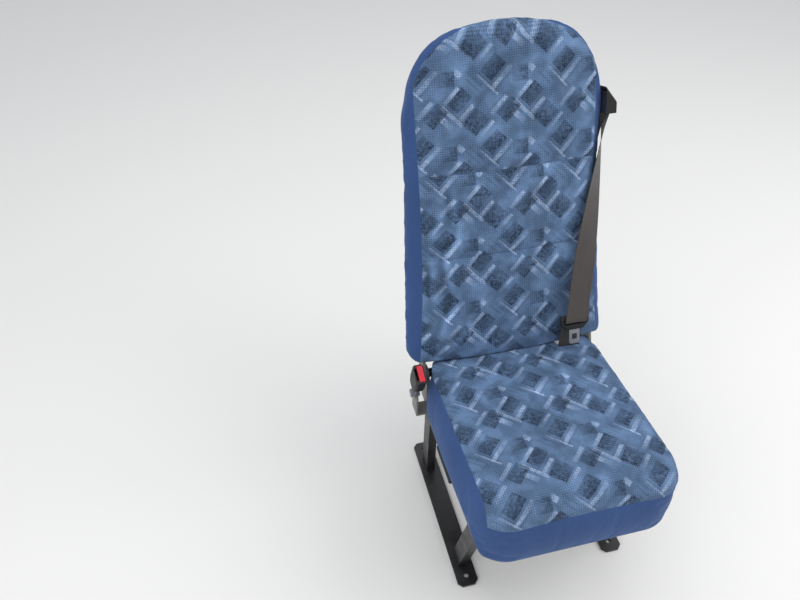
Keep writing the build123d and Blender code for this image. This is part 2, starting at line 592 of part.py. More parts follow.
def guide_plate():
    """Bent steel plate on the backrest's side, its two ears holding the guide's bar."""
    half = GUIDE_BAR_LENGTH / 2 + GUIDE_EAR_THICK
    back = BACK_HALF + SEAT_GAP
    front = back + GUIDE_PLATE_THICK
    body = block(back, front, GUIDE_BACK - half, GUIDE_BACK + half, GUIDE_LOW, GUIDE_TOP)
    reach = GUIDE_OUT + GUIDE_EAR_REACH
    for end in (-1, 1):
        inner = GUIDE_BACK + end * GUIDE_BAR_LENGTH / 2
        outer = GUIDE_BACK + end * half
        low = GUIDE_UP - GUIDE_EAR_REACH
        high = GUIDE_UP + GUIDE_EAR_REACH
        body = body + block(back, reach, inner, outer, low, high)
    body = body - rod_x(GUIDE_BOLT_DIA, back - 1, front + 1, GUIDE_BACK, GUIDE_BOLT_UP)
    return BACK_PLACE * body


def guide_bar():
    """Round bar that the webbing runs over."""
    half = GUIDE_BAR_LENGTH / 2
    return BACK_PLACE * rod_y(GUIDE_BAR_DIA, GUIDE_BACK - half, GUIDE_BACK + half, GUIDE_OUT, GUIDE_UP)


def guide_bolt():
    """Fixing bolt of the guide, its shank ending in the padding's side."""
    face = BACK_HALF + SEAT_GAP + GUIDE_PLATE_THICK
    head = hex_x(GUIDE_BOLT_FLATS, face, face + GUIDE_BOLT_HEAD, GUIDE_BACK, GUIDE_BOLT_UP)
    shank = rod_x(GUIDE_BOLT_DIA, BACK_HALF + SEAT_GAP, face, GUIDE_BACK, GUIDE_BOLT_UP)
    return BACK_PLACE * (head + shank)


def hood_form(inset, half):
    """Outer form of the hood, or its hollow at an inset, which runs out through the two open sides."""
    back = BACK_HALF + SEAT_GAP - inset
    low = HOOD_LOW - inset
    out = HOOD_OUT - inset
    ridge = HOOD_SHOULDER - inset / 2
    section = Polygon((back, low), (out, low), (out, ridge), (back, HOOD_APEX - inset), align=None)
    section = fillet(section.vertices().sort_by_distance((out, ridge))[0], HOOD_RIDGE_ROUND - inset)
    return plate_y(section, GUIDE_BACK - half, GUIDE_BACK + half)


def guide_hood():
    """Moulded cover over the guide, open below and towards the padding."""
    inner_half = GUIDE_BAR_LENGTH / 2 + GUIDE_EAR_THICK
    shell = hood_form(0, inner_half + HOOD_WALL)
    back = BACK_HALF + SEAT_GAP
    rim = shell.faces().filter_by(Axis.Y).edges()
    rim = rim.filter_by(lambda edge: edge.center().X > back + 1 and edge.center().Z > HOOD_LOW + 1)
    shell = fillet(rim, HOOD_RIM_ROUND)
    return BACK_PLACE * (shell - hood_form(HOOD_WALL, inner_half))


def rear_strand_back(drop):
    """Rearward place of the rear strand's middle at a distance below the bar."""
    upper = min(drop, REAR_STRAND_TURN) * math.tan(math.radians(UPPER_SLANT))
    lower = max(drop - REAR_STRAND_TURN, 0) * math.tan(math.radians(LOWER_SLANT))
    return GUIDE_BACK + upper + lower


def webbing_section(centre, width_way, along):
    """Cross-section of the webbing, square to the way it runs."""
    normal = along.normalized()
    width = (width_way - normal * width_way.dot(normal)).normalized()
    return Plane(origin=centre, x_dir=width, z_dir=normal) * Rectangle(WEB_WIDTH, WEB_THICK)


def webbing_rear():
    """Strand that rises from the retractor, lies along the side and turns over the guide's bar."""
    crest = GUIDE_UP + WRAP_RADIUS
    turn = ThreePointArc((WEB_INNER_X, GUIDE_UP), (GUIDE_OUT, crest), (WEB_OUTER_X, GUIDE_UP))
    half = WEB_WIDTH / 2
    over = plate_y(trace(turn, WEB_THICK), GUIDE_BACK - half, GUIDE_BACK + half)
    top = Vector(WEB_INNER_X, GUIDE_BACK, GUIDE_UP)
    lying, turning, mouth = [
        Vector(WEB_SIDE_X, rear_strand_back(drop), GUIDE_UP - drop)
        for drop in (REAR_STRAND_DROP, REAR_STRAND_TURN, GUIDE_UP - RETRACTOR_UP)
    ]
    rearward = Vector(0, 1, 0)
    strand = loft([
        webbing_section(top, rearward, Vector(0, 0, -1)),
        webbing_section(lying, rearward, turning - lying),
        webbing_section(turning, rearward, mouth - lying),
        webbing_section(mouth, rearward, mouth - turning),
    ], ruled=True)
    return BACK_PLACE * (over + strand)


# Stations of the shoulder strand: share of its length, turn of its width from across to rearward
SHOULDER_TWIST = (
    (0.00, 90.0),
    (0.05, 80.0),
    (0.10, 68.0),
    (0.31, 44.0),
    (0.53, 20.0),
    (0.72, 0.0),
)


def slot_turns():
    """Where the webbing turns before and behind the tongue's slot, in (y, z)."""
    slant = math.radians(SLOT_SLANT)
    dy = SLOT_REACH * math.cos(slant)
    dz = SLOT_REACH * math.sin(slant)
    return (TONGUE_Y - dy, TONGUE_Z + dz), (TONGUE_Y + dy, TONGUE_Z - dz)


def webbing_shoulder():
    """Strand from the guide to the tongue's slot, turning from edge-on to flat on the way."""
    before, behind = slot_turns()
    start = Vector(WEB_OUTER_X, GUIDE_BACK, GUIDE_UP)
    end = Vector(TONGUE_X, *to_back(*before))
    slot = Vector(TONGUE_X, *to_back(TONGUE_Y, TONGUE_Z))
    sections = []
    for share, twist in SHOULDER_TWIST:
        turn = math.radians(twist)
        along = Vector(0, 0, -1) if share == 0 else end - start
        width = Vector(math.cos(turn), math.sin(turn), 0)
        sections.append(webbing_section(start + (end - start) * share, width, along))
    across = Vector(1, 0, 0)
    bend = (end - start).normalized() + (slot - end).normalized()
    sections.append(webbing_section(end, across, Vector(0, bend.Y, bend.Z)))
    sections.append(webbing_section(slot, across, slot - end))
    return BACK_PLACE * loft(sections, ruled=True)


def head_outline(corner):
    """Tongue's head in (across, up): two ears at the slot's ends, narrowing to the blade."""
    half = HEAD_WIDTH / 2
    foot = HEAD_FOOT_WIDTH / 2
    low = -HEAD_HEIGHT / 2
    outline = Polygon(
        (half, -HEAD_SHOULDER),
        (half, -low),
        (-half, -low),
        (-half, -HEAD_SHOULDER),
        (-foot, low),
        (foot, low),
        align=None,
    )
    return fillet(outline.vertices(), corner) if corner else outline


def head_slot():
    """Slot for the webbing, with round ends."""
    return SlotOverall(HEAD_SLOT, HEAD_SLOT_HEIGHT)


def tongue_outline():
    """Steel tongue in (across, up): head with a slot, blade with a latch window."""
    head = offset(head_outline(0), -HEAD_COVER, kind=Kind.INTERSECTION)
    blade = Pos(0, -BLADE_LENGTH / 2) * RectangleRounded(BLADE_WIDTH, BLADE_LENGTH, BLADE_CORNER)
    window = Pos(0, -WINDOW_DROP) * RectangleRounded(WINDOW_WIDTH, WINDOW_HEIGHT, WINDOW_CORNER)
    return head + blade - head_slot() - window


def tongue_plate():
    """Stamped steel tongue."""
    return TONGUE_PLACE * plate_y(tongue_outline(), -TONGUE_THICK / 2, TONGUE_THICK / 2)


def tongue_cover():
    """Moulded head over the steel, its rim bevelled."""
    body = plate_y(head_outline(HEAD_CORNER), -HEAD_THICK / 2, HEAD_THICK / 2)
    body = chamfer(body.faces().filter_by(Axis.Y).edges(), HEAD_BEVEL)
    body = body - plate_y(head_slot(), -HEAD_THICK, HEAD_THICK)
    body = body - plate_y(tongue_outline(), -TONGUE_THICK / 2, TONGUE_THICK / 2)
    return TONGUE_PLACE * body


def webbing_lap():
    """Strand from the tongue down through the junction, looped round the anchor plate's bar."""
    before, behind = slot_turns()
    loop_out = ANCHOR_PLATE_THICK / 2 + SEAT_GAP + WEB_THICK / 2
    loop_top = LOOP_Z + LOOP_BAR / 2 + WEB_THICK
    below = (LAP_Y, TONGUE_Z - HEAD_HEIGHT)
    path = Polyline((TONGUE_Y, TONGUE_Z), behind, below, (LAP_Y, loop_top + loop_out))
    strand = trace(path, WEB_THICK)
    low = LOOP_Z - LOOP_BAR / 2 - WEB_THICK
    ring = Pos(LAP_Y, (loop_top + low) / 2) * SlotOverall(
        loop_top - low + 2 * loop_out + WEB_THICK, 2 * loop_out + WEB_THICK, rotation=90
    )
    hole = Pos(LAP_Y, (loop_top + low) / 2) * SlotOverall(
        loop_top - low + 2 * loop_out - WEB_THICK, 2 * loop_out - WEB_THICK, rotation=90
    )
    half = WEB_WIDTH / 2
    return plate_x(strand + ring - hole, TONGUE_X - half, TONGUE_X + half)


def anchor_plate():
    """End plate of the lap strand: slot above, bolt hole below."""
    top = LOOP_Z + LOOP_BAR / 2
    low = ANCHOR_BOLT_Z - ANCHOR_HEAD_FLATS
    plate = Rectangle(ANCHOR_PLATE_WIDTH, top - low)
    outline = Pos(TONGUE_X, (top + low) / 2) * chamfer(plate.vertices(), ANCHOR_PLATE_CORNER)
    slot_top = LOOP_Z - LOOP_BAR / 2
    slot_high = 2 * (SEAT_GAP + WEB_THICK + ANCHOR_SLOT_PLAY) + ANCHOR_PLATE_THICK
    slot = Rectangle(WEB_WIDTH + ANCHOR_SLOT_PLAY, slot_high)
    outline = outline - Pos(TONGUE_X, slot_top - slot_high / 2) * slot
    outline = outline - Pos(TONGUE_X, ANCHOR_BOLT_Z) * Circle(ANCHOR_BOLT_DIA / 2)
    return plate_y(outline, TAB_FRONT_Y - ANCHOR_PLATE_THICK, TAB_FRONT_Y)


def anchor_tab():
    """Steel tab under the rear cross tube that takes the lower anchor's bolt."""
    low = ANCHOR_BOLT_Z - ANCHOR_HEAD_FLATS
    outline = Pos(TONGUE_X, (CROSS_TUBE_Z + low) / 2) * Rectangle(ANCHOR_TAB_WIDTH, CROSS_TUBE_Z - low)
    outline = outline - Pos(TONGUE_X, ANCHOR_BOLT_Z) * Circle(ANCHOR_BOLT_DIA / 2)
    tab = plate_y(outline, TAB_FRONT_Y, TAB_FRONT_Y + ANCHOR_TAB_THICK)
    return tab - rod_x(CROSS_TUBE_DIA, -RAIL_INNER, RAIL_INNER, CROSS_TUBE_REAR_Y, CROSS_TUBE_Z)


def anchor_bolt():
    """Bolt through the anchor plate and its tab."""
    near = TAB_FRONT_Y - ANCHOR_PLATE_THICK
    far = TAB_FRONT_Y + ANCHOR_TAB_THICK
    head = hex_y(ANCHOR_HEAD_FLATS, near - ANCHOR_HEAD_THICK, near, TONGUE_X, ANCHOR_BOLT_Z)
    shank = rod_y(ANCHOR_BOLT_DIA, near, far, TONGUE_X, ANCHOR_BOLT_Z)
    nut = hex_y(ANCHOR_HEAD_FLATS, far, far + ANCHOR_NUT_THICK, TONGUE_X, ANCHOR_BOLT_Z)
    return head + shank + nut


def retractor_place():
    """Frame at the retractor's mouth, its Z along the rear strand."""
    mouth = BACK_PLACE * Pos(0, rear_strand_back(GUIDE_UP - RETRACTOR_UP), RETRACTOR_UP)
    return mouth * Rot(-LOWER_SLANT, 0, 0)


def retractor_frame():
    """Folded steel frame: plate on the inner side and two ears for the spool."""
    sheet = RETRACTOR_SHEET
    half = RETRACTOR_WIDTH / 2
    outer = WEB_SIDE_X
    inner = WEB_SIDE_X - SPOOL_DIA - sheet
    frame = block(inner, inner + sheet, -half, half, -RETRACTOR_HEIGHT, 0)
    for end in (-1, 1):
        frame = frame + block(inner, outer, end * half, end * (half - sheet), -RETRACTOR_HEIGHT, 0)
    return retractor_place() * frame


def retractor_spool():
    """Webbing wound on the retractor's spool, between the frame's ears."""
    half = RETRACTOR_WIDTH / 2 - RETRACTOR_SHEET
    centre_x = WEB_SIDE_X + WEB_THICK / 2 - SPOOL_DIA / 2
    return retractor_place() * rod_y(SPOOL_DIA, -half, half, centre_x, -RETRACTOR_HEIGHT / 2)


def retractor_arm():
    """Plate from the rail's rear end to the retractor's front ear."""
    face = retractor_place() * Pos(0, -RETRACTOR_WIDTH / 2, 0)
    steep = math.radians(BACK_LEAN + LOWER_SLANT)
    low = RAIL_LOW + PLATE_EDGE
    high = FRAME_HEIGHT - PLATE_EDGE
    low_y = face.position.Y + (low - face.position.Z) * math.tan(steep)
    high_y = face.position.Y + (high - face.position.Z) * math.tan(steep)
    outline = Polygon((RAIL_REAR_Y, low), (low_y, low), (high_y, high), (RAIL_REAR_Y, high), align=None)
    return plate_x(outline, RAIL_X, RAIL_X + RETRACTOR_ARM)


def buckle_bracket():
    """Steel angle from the aisle-side hinge plate out and up to the buckle's bolt."""
    low = BRACKET_Z
    high = BUCKLE_BOLT_Z
    y_from = BUCKLE_BOLT_Y - BRACKET_WIDTH / 2
    y_to = BUCKLE_BOLT_Y + BRACKET_WIDTH / 2
    web = block(-BRACKET_X, -PLATE_OUTER, y_from, y_to, low, low + BRACKET_THICK)
    flange_middle = (low + high) / 2
    flange = Pos(BUCKLE_BOLT_Y, flange_middle) * Rectangle(BRACKET_WIDTH, high - low)
    flange = flange + Pos(BUCKLE_BOLT_Y, high) * Circle(BRACKET_WIDTH / 2)
    flange = flange - Pos(BUCKLE_BOLT_Y, high) * Circle(BUCKLE_BOLT_DIA / 2)
    return web + plate_x(flange, -BRACKET_X, -BRACKET_X + BRACKET_THICK)


def buckle_bolt():
    """Bolt that the buckle's strap turns on."""
    inner = -BRACKET_X + BRACKET_THICK
    outer = -STRAP_X - BUCKLE_STRAP_THICK - BUCKLE_STRAP_PLAY
    head = hex_x(BUCKLE_HEAD_FLATS, outer - BUCKLE_HEAD_THICK, outer, BUCKLE_BOLT_Y, BUCKLE_BOLT_Z)
    shank = rod_x(BUCKLE_BOLT_DIA, outer, inner, BUCKLE_BOLT_Y, BUCKLE_BOLT_Z)
    nut = hex_x(BUCKLE_HEAD_FLATS, inner, inner + BUCKLE_HEAD_THICK, BUCKLE_BOLT_Y, BUCKLE_BOLT_Z)
    return head + shank + nut


def buckle_strap():
    """Steel strap from the bolt up into the buckle's body."""
    tip = (BUCKLE_LOW + BUCKLE_TOP) / 2
    outline = Pos(0, tip / 2) * Rectangle(BUCKLE_STRAP_WIDTH, tip) + Circle(BUCKLE_STRAP_WIDTH / 2)
    outline = outline - Circle(BUCKLE_BOLT_DIA / 2 + SHAFT_CLEARANCE)
    return BUCKLE_PLACE * plate_x(outline, -STRAP_X - BUCKLE_STRAP_THICK, -STRAP_X)


def buckle_button_block(clearance=0.0):
    """End button in the buckle's frame, beside the slot."""
    inner = -BUCKLE_OUT + BUCKLE_THICK / 2 - BUTTON_EDGE + clearance
    outer = inner - BUTTON_WIDTH - 2 * clearance
    half = BUTTON_LENGTH / 2 + clearance
    low = BUCKLE_TOP - BUTTON_DEPTH - clearance
    return block(outer, inner, -half, half, low, BUCKLE_TOP + BUTTON_RISE)


def buckle_button():
    """Red end button."""
    body = buckle_button_block()
    top = body.edges().group_by(Axis.Z)[-1]
    return BUCKLE_PLACE * fillet(top, BUTTON_RISE / 2)


def buckle_body():
    """Moulded buckle housing: narrowed foot, tongue slot and button well in its upper end."""
    half = BUCKLE_WIDTH / 2
    foot = BUCKLE_FOOT_WIDTH / 2
    knee = BUCKLE_LOW + BUCKLE_TAPER
    x_from = -BUCKLE_OUT - BUCKLE_THICK / 2
    x_to = -BUCKLE_OUT + BUCKLE_THICK / 2
    outline = Polygon(
        (-half, BUCKLE_TOP),
        (-half, knee),
        (-foot, BUCKLE_LOW),
        (foot, BUCKLE_LOW),
        (half, knee),
        (half, BUCKLE_TOP),
        align=None,
    )
    outline = fillet(outline.vertices().filter_by(lambda corner: corner.Y < BUCKLE_TOP - 1), BUCKLE_CORNER)
    body = plate_x(outline, x_from, x_to)
    rim = body.faces().filter_by(Axis.X).edges().filter_by(lambda edge: edge.center().Z < BUCKLE_TOP - 1)
    body = chamfer(rim, BUCKLE_BEVEL)
    slot_x = x_from + BUCKLE_SLOT_EDGE
    slot_half = BUCKLE_SLOT / 2
    slot_low = BUCKLE_TOP - BUCKLE_SLOT_DEPTH
    body = body - block(slot_x, slot_x + BUCKLE_SLOT_WIDTH, -slot_half, slot_half, slot_low, BUCKLE_TOP + 1)
    body = body - buckle_button_block(BUTTON_PLAY)
    strap_half = BUCKLE_STRAP_WIDTH / 2
    strap_top = (BUCKLE_LOW + BUCKLE_TOP) / 2
    strap_from = -STRAP_X - BUCKLE_STRAP_THICK
    body = body - block(strap_from, -STRAP_X, -strap_half, strap_half, BUCKLE_LOW - 1, strap_top)
    return BUCKLE_PLACE * body


def build_nodes():
    """Every sub-part of the seat by name."""
    nodes = {
        "backrest_cushion": backrest_cushion(),
        "seat_cushion": seat_cushion(),
        "cushion_pan": cushion_pan(),
        "cross_tube_front": cross_tube(CROSS_TUBE_FRONT_Y),
        "cross_tube_rear": cross_tube(CROSS_TUBE_REAR_Y),
        "cross_shaft": cross_shaft(),
        "recliner_lever": recliner_lever(),
        "lever_grip": lever_grip(),
        "guide_plate": guide_plate(),
        "guide_bar": guide_bar(),
        "guide_bolt": guide_bolt(),
        "guide_hood": guide_hood(),
        "webbing_rear": webbing_rear(),
        "webbing_shoulder": webbing_shoulder(),
        "webbing_lap": webbing_lap(),
        "tongue_plate": tongue_plate(),
        "tongue_cover": tongue_cover(),
        "anchor_plate": anchor_plate(),
        "anchor_tab": anchor_tab(),
        "anchor_bolt": anchor_bolt(),
        "retractor_frame": retractor_frame(),
        "retractor_spool": retractor_spool(),
        "retractor_arm": retractor_arm(),
        "buckle_bracket": buckle_bracket(),
        "buckle_bolt": buckle_bolt(),
        "buckle_strap": buckle_strap(),
        "buckle_body": buckle_body(),
        "buckle_button": buckle_button(),
    }
    for side, sign in SIDES:
        nodes["floor_rail_" + side] = floor_rail(sign)
        nodes["leg_front_" + side] = leg(sign, RAIL_FRONT_Y + FRONT_LEG_INSET, FRONT_LEG_FOOT_Y)
        nodes["leg_rear_" + side] = leg(sign, RAIL_REAR_Y - REAR_LEG_INSET, REAR_LEG_FOOT_Y)
        nodes["side_rail_" + side] = side_rail(sign)
        nodes["hinge_plate_" + side] = hinge_plate(sign)
        nodes["back_arm_" + side] = back_arm(sign)
        nodes["pivot_bolt_" + side] = pivot_bolt(sign)
    return nodes


def main():
    os.makedirs("parts", exist_ok=True)
    for name, shape in build_nodes().items():
        export_step(shape, os.path.join("parts", name + ".step"))


main()
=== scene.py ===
import json
import math

import bmesh
import bpy
import numpy as np
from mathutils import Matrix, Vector


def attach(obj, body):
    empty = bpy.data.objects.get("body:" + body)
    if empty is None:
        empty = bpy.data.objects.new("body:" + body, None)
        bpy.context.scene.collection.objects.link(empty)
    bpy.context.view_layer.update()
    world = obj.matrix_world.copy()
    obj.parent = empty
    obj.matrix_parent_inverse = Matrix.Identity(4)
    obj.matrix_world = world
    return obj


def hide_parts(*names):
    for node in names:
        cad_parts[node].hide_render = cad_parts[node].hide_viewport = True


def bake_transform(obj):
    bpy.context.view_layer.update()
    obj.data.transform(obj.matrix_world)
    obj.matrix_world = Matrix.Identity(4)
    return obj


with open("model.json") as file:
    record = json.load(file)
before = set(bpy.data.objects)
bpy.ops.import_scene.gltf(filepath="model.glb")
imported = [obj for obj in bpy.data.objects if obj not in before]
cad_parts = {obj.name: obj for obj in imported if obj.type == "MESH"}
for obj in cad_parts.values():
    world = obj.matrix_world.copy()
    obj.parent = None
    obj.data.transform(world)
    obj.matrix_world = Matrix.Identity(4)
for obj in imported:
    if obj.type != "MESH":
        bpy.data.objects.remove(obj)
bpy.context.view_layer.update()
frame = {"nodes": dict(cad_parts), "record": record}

bl_info = {
    "name": "Passenger seat finish",
    "version": (1, 0, 0),
    "blender": (4, 5, 0),
    "location": "3D View > Sidebar > Seat",
    "description": "Dresses the packed seat in moquette, webbing, enamel and plastic",
    "category": "Object",
}

MM = 0.001

# Shapes repeated from the part, in mm. Backrest places are (across, rearward, up the lean)
LEAN = math.radians(18.0)
JUNCTION = np.array([0.0, 100.0, 400.0])
BACK_SEAM = 182.5
BACK_BULGE = 20.0
BACK_DEPTH = 105.0
BACK_TOP_DEPTH = 52.0
BACK_TAPER_START = 300.0
BACK_KNEE = 28.0
BACK_LENGTH = 674.0
BACK_FLARE = 22.0
BACK_FLARE_TOP = 380.0
FOOT_SEAM = BACK_SEAM + BACK_FLARE
BACK_SIDE_HALF = 43.0
STITCH_HEIGHTS = (230.0, 403.0)
CROWN_TIP = 83.0
CROWN_ARCS = ((83, 666), (180, 586), (202.5, 468))
BACK_CORNER = 18.0
FACE_CROWN = 18.0
REAR_CROWN = 6.0
SEAT_SEAM = 188.0
SEAT_BULGE = 17.0
SEAT_HALF = 205.0
SEAT_FRONT = -300.0
SEAT_REAR = 95.0
SEAT_TOP_FRONT = 428.0
SEAT_TOP_REAR = 400.0
SEAT_LOW_FRONT = 268.0
SEAT_LOW_REAR = 300.0
SEAT_LOW_BEND = -180.0
SEAT_DEPTH = 165.0
SEAT_CROWN = 12.0
FRONT_CORNER = 72.0
REAR_CORNER = 42.0
POCKET_HALF = 186.0
POCKET_FRONT = -272.0
POCKET_TOP = 297.2
LAP_X = 128.0
WEB_HALF = 24.0

# The pads' surfaces give their slices' places, points, cloth places and the ends of the parts that make up a loop.
# Backrest pad: the face's rows before they are fitted to its outline (lowest, highest, height above which the crown
# draws them, length over which the foot does, least step)
ROW_LOW, ROW_HIGH = 14.0, 652.0
CROWN_ROWS, FOOT_ROWS, ROW_STEP = 430.0, 46.0, 2.2
# Radius of the rolls beside the gusset and how far the gusset stands up, each over the distance from the middle
ROLL_RADIUS = ((CROWN_TIP, 120, BACK_SEAM), (27, 17, 11))
GUSSET_RISE = ((CROWN_TIP, 150, BACK_SEAM), (0, 5, 6))
# Angles of a roll's rows in degrees at the gusset's tip and at its lower end. The gusset's seam is the fourth
ROLL_AT_TIP = np.array([21, 42, 63, 84, 85.5, 87, 88, 89])
ROLL_AT_SIDE = np.array([9, 18, 27, 36, 50, 62, 72, 81])
FOOT_ROLL = 5.0
OVER_CROWN = 60.0

# Cushion pad: its rolls, its front border's swelling, and its rear border's tuck below the backrest, deeper at
# TUCK_SIDE_X. It comes in over NOTCH beside the lap strand and over TUCK_FADE beside the seams
FRONT_ROLL = 42.0
REAR_ROLL = 7.0
BORDER_BELLY = 3.5
TUCK = 16.0
TUCK_SIDE = 17.0
TUCK_SIDE_X = 170.0
TUCK_FADE = 14.0
NOTCH = (0.6, 3.0)

# Pads' cloth simulation: steps, pressure, how much too large the cover is, furthest move. Then the seams' depths
SWELL_STEPS = 20
SWELL_PRESSURE = 4.0
SWELL_GROWTH = 0.012
SWELL_CAP = 7.0
SEAM_DENT = 1.6
STITCH_DENT = 2.2


def hex_colour(code):
    """Linear colour with alpha from an sRGB hex value."""
    values = [int(code[i:i + 2], 16) / 255 for i in (1, 3, 5)]
    linear = [v / 12.92 if v <= 0.04045 else ((v + 0.055) / 1.055) ** 2.4 for v in values]
    return (*linear, 1.0)


def add_node(tree, name, kind, settings, inputs):
    """One named node: its settings, and for each input a value, or a link as "node:output" or "node" for the first."""
    node = tree.nodes.new("ShaderNode" + kind)
    node.name = name
    for key, value in settings.items():
        setattr(node, key, value)
    for key, value in inputs.items():
        if isinstance(value, str):
            source, _, output = value.partition(":")
            output = int(output or 0) if output in ("", "2") else output
            tree.links.new(tree.nodes[source].outputs[output], node.inputs[key])
        else:
            node.inputs[key].default_value = value
    return node


def maths(name, operation, *values):
    """Row of a Math node."""
    return name, "Math", {"operation": operation}, dict(enumerate(values))


def vectors(name, operation, *values):
    """Row of a Vector Math node."""
    return name, "VectorMath", {"operation": operation}, dict(enumerate(values))


def scaled(name, vector, scale):
    """Row of a node that scales a vector or a colour."""
    return name, "VectorMath", {"operation": "SCALE"}, {0: vector, "Scale": scale}


def noise(name, place, scale, detail):
    """Row of a noise texture."""
    return name, "TexNoise", {}, {"Vector": place, "Scale": scale, "Detail": detail}


def ranged(name, value, low, high, start=0.3, end=0.7, kind="LINEAR"):
    """Row of a node that turns the range from start to end into low to high."""
    return name, "MapRange", {"interpolation_type": kind}, {0: value, 1: start, 2: end, 3: low, 4: high}


def grain_rows(height, strength, depth, radius=None):
    """Rows that raise a grain by a depth in mm, on edges rounded by a radius in mm."""
    bump = {"Height": height, "Strength": strength, "Distance": depth * MM}
    if radius is None:
        return [("bump", "Bump", {}, bump)]
    bump["Normal"] = "round"
    return [("round", "Bevel", {"samples": 4}, {"Radius": radius * MM}), ("bump", "Bump", {}, bump)]


def make_material(name, rows, shader):
    """Material whose nodes are the rows, and whose shader takes values or links to them."""
    material = bpy.data.materials.new(name)
    material.use_nodes = True
    tree = material.node_tree
    tree.nodes.clear()
    for row in rows:
        add_node(tree, *row)
    add_node(tree, "shader", "BsdfPrincipled", {}, shader)
    add_node(tree, "output", "OutputMaterial", {}, {"Surface": "shader:BSDF"})
    return material


def woven_block_group():
    """Node group: how strongly a tilted rectangle of the repeating pattern covers a place on the cloth.
    The place is wrapped to the repeat about the rectangle's middle, then measured in half lengths and half widths."""
    tree = bpy.data.node_groups.new("Woven block", "ShaderNodeTree")
    for kind, names in (
        ("Vector", ("Place", "High", "Low", "Middle", "Turn", "Half")), ("Float", ("Tail", "Head", "Wear")),
    ):
        for name in names:
            tree.interface.new_socket(name=name, in_out="INPUT", socket_type="NodeSocket" + kind)
    tree.interface.new_socket(name="Cover", in_out="OUTPUT", socket_type="NodeSocketFloat")
    entry = tree.nodes.new("NodeGroupInput")
    entry.name = "in"
    for row in (
        vectors("wrapped", "WRAP", "in:Place", "in:High", "in:Low"),
        ("local", "Mapping", {"vector_type": "TEXTURE"}, {
            "Vector": "wrapped", "Location": "in:Middle", "Rotation": "in:Turn", "Scale": "in:Half",
        }),
        vectors("far", "ABSOLUTE", "local"),
        vectors("soft", "DIVIDE", (BLOCK_EDGE, BLOCK_EDGE, 1.0), "in:Half"),
        vectors("left", "SUBTRACT", (1.0, 1.0, 1.0), "far"),
        vectors("edge", "DIVIDE", "left", "soft"),
        ("edge_xy", "SeparateXYZ", {}, {0: "edge"}),
        maths("nearer", "MINIMUM", "edge_xy:X", "edge_xy:Y"),
        ("inside", "Math", {"operation": "MULTIPLY_ADD", "use_clamp": True}, {0: "nearer", 1: 1.0, 2: 0.5}),
        ("local_xy", "SeparateXYZ", {}, {0: "local"}),
        ranged("fade", "local_xy:X", "in:Tail", "in:Head", -1.0, 0.9, "SMOOTHSTEP"),
        maths("full", "MULTIPLY", "inside", "fade"),
        maths("cover", "MULTIPLY", "full", "in:Wear"),
    ):
        add_node(tree, *row)
    leave = tree.nodes.new("NodeGroupOutput")
    tree.links.new(tree.nodes["cover"].outputs[0], leave.inputs["Cover"])
    return tree


# Moquette: its blocks' soft edge and its dots' pitch, its repeat in mm, and the repeat's move above the upper
# stitched line. Then the blocks: tone, middle, half length and half width, turn in degrees, cover at tail and head
BLOCK_EDGE = 1.3 * MM
DOT_PITCH = 4.4 * MM
REPEAT = (140.0, 136.0)
REPEAT_MOVE = (34.0 * MM, -52.0 * MM, 0.0)
WOVEN_BLOCKS = (
    ("mid", (92, -22), (31, 7.5), -45, 0.25, 0.75),
    ("mid", (28, -26), (27, 8), 45, 0.2, 0.8),
    ("mid", (128, -62), (24, 9), 45, 0.7, 0.2),
    ("light", (15, -19.5), (28, 4.2), 45, 0.95, 0.35),
    ("light", (-11, -30), (27, 2.2), -45, 0.3, 0.9),
    ("light", (59, -46), (21, 4.2), 45, 0.25, 1),
    ("light", (60, -82), (27, 3.8), -45, 0.9, 0.6),
    ("light", (86, -78), (20, 3.8), 45, 0.55, 0.9),
    ("light", (9.5, -68), (21, 4), 45, 0.35, 0.85),
    ("light", (49, -93), (15, 5.5), -45, 0.9, 0.2),
    ("light", (73, -6), (8, 5.5), -45, 0.4, 0.95),
    ("light", (123, -112), (22, 3.4), 45, 0.1, 0.8),
    ("dark", (0, 0), (14.5, 21), -45, 0.6, 1),
    ("dark", (52, -15), (15.5, 14), 0, 0.3, 0.8),
    ("dark", (75, -54), (13.5, 20.5), 135, 0.6, 0.95),
    ("dark", (105, -95), (20, 17.5), -135, 0.55, 1),
    ("dark", (29, -78), (14, 21), -45, 0.6, 0.95),
    ("line", (-8.5, -27.5), (29, 0.55), -45, 0.9, 0.7),
    ("line", (63.5, -79), (31, 0.55), -45, 0.5, 0.9),
    ("line", (100, -28), (17, 0.55), -45, 0.9, 0.9),
    ("line", (104, -17), (19, 0.55), -45, 0.4, 0.9),
    ("line", (21, -24), (26, 0.5), 45, 0.6, 0.4),
    ("line", (92, -112), (20, 0.55), -45, 0.9, 0.3),
    ("line", (130, -68), (22, 0.5), 45, 0.7, 0.3),
)


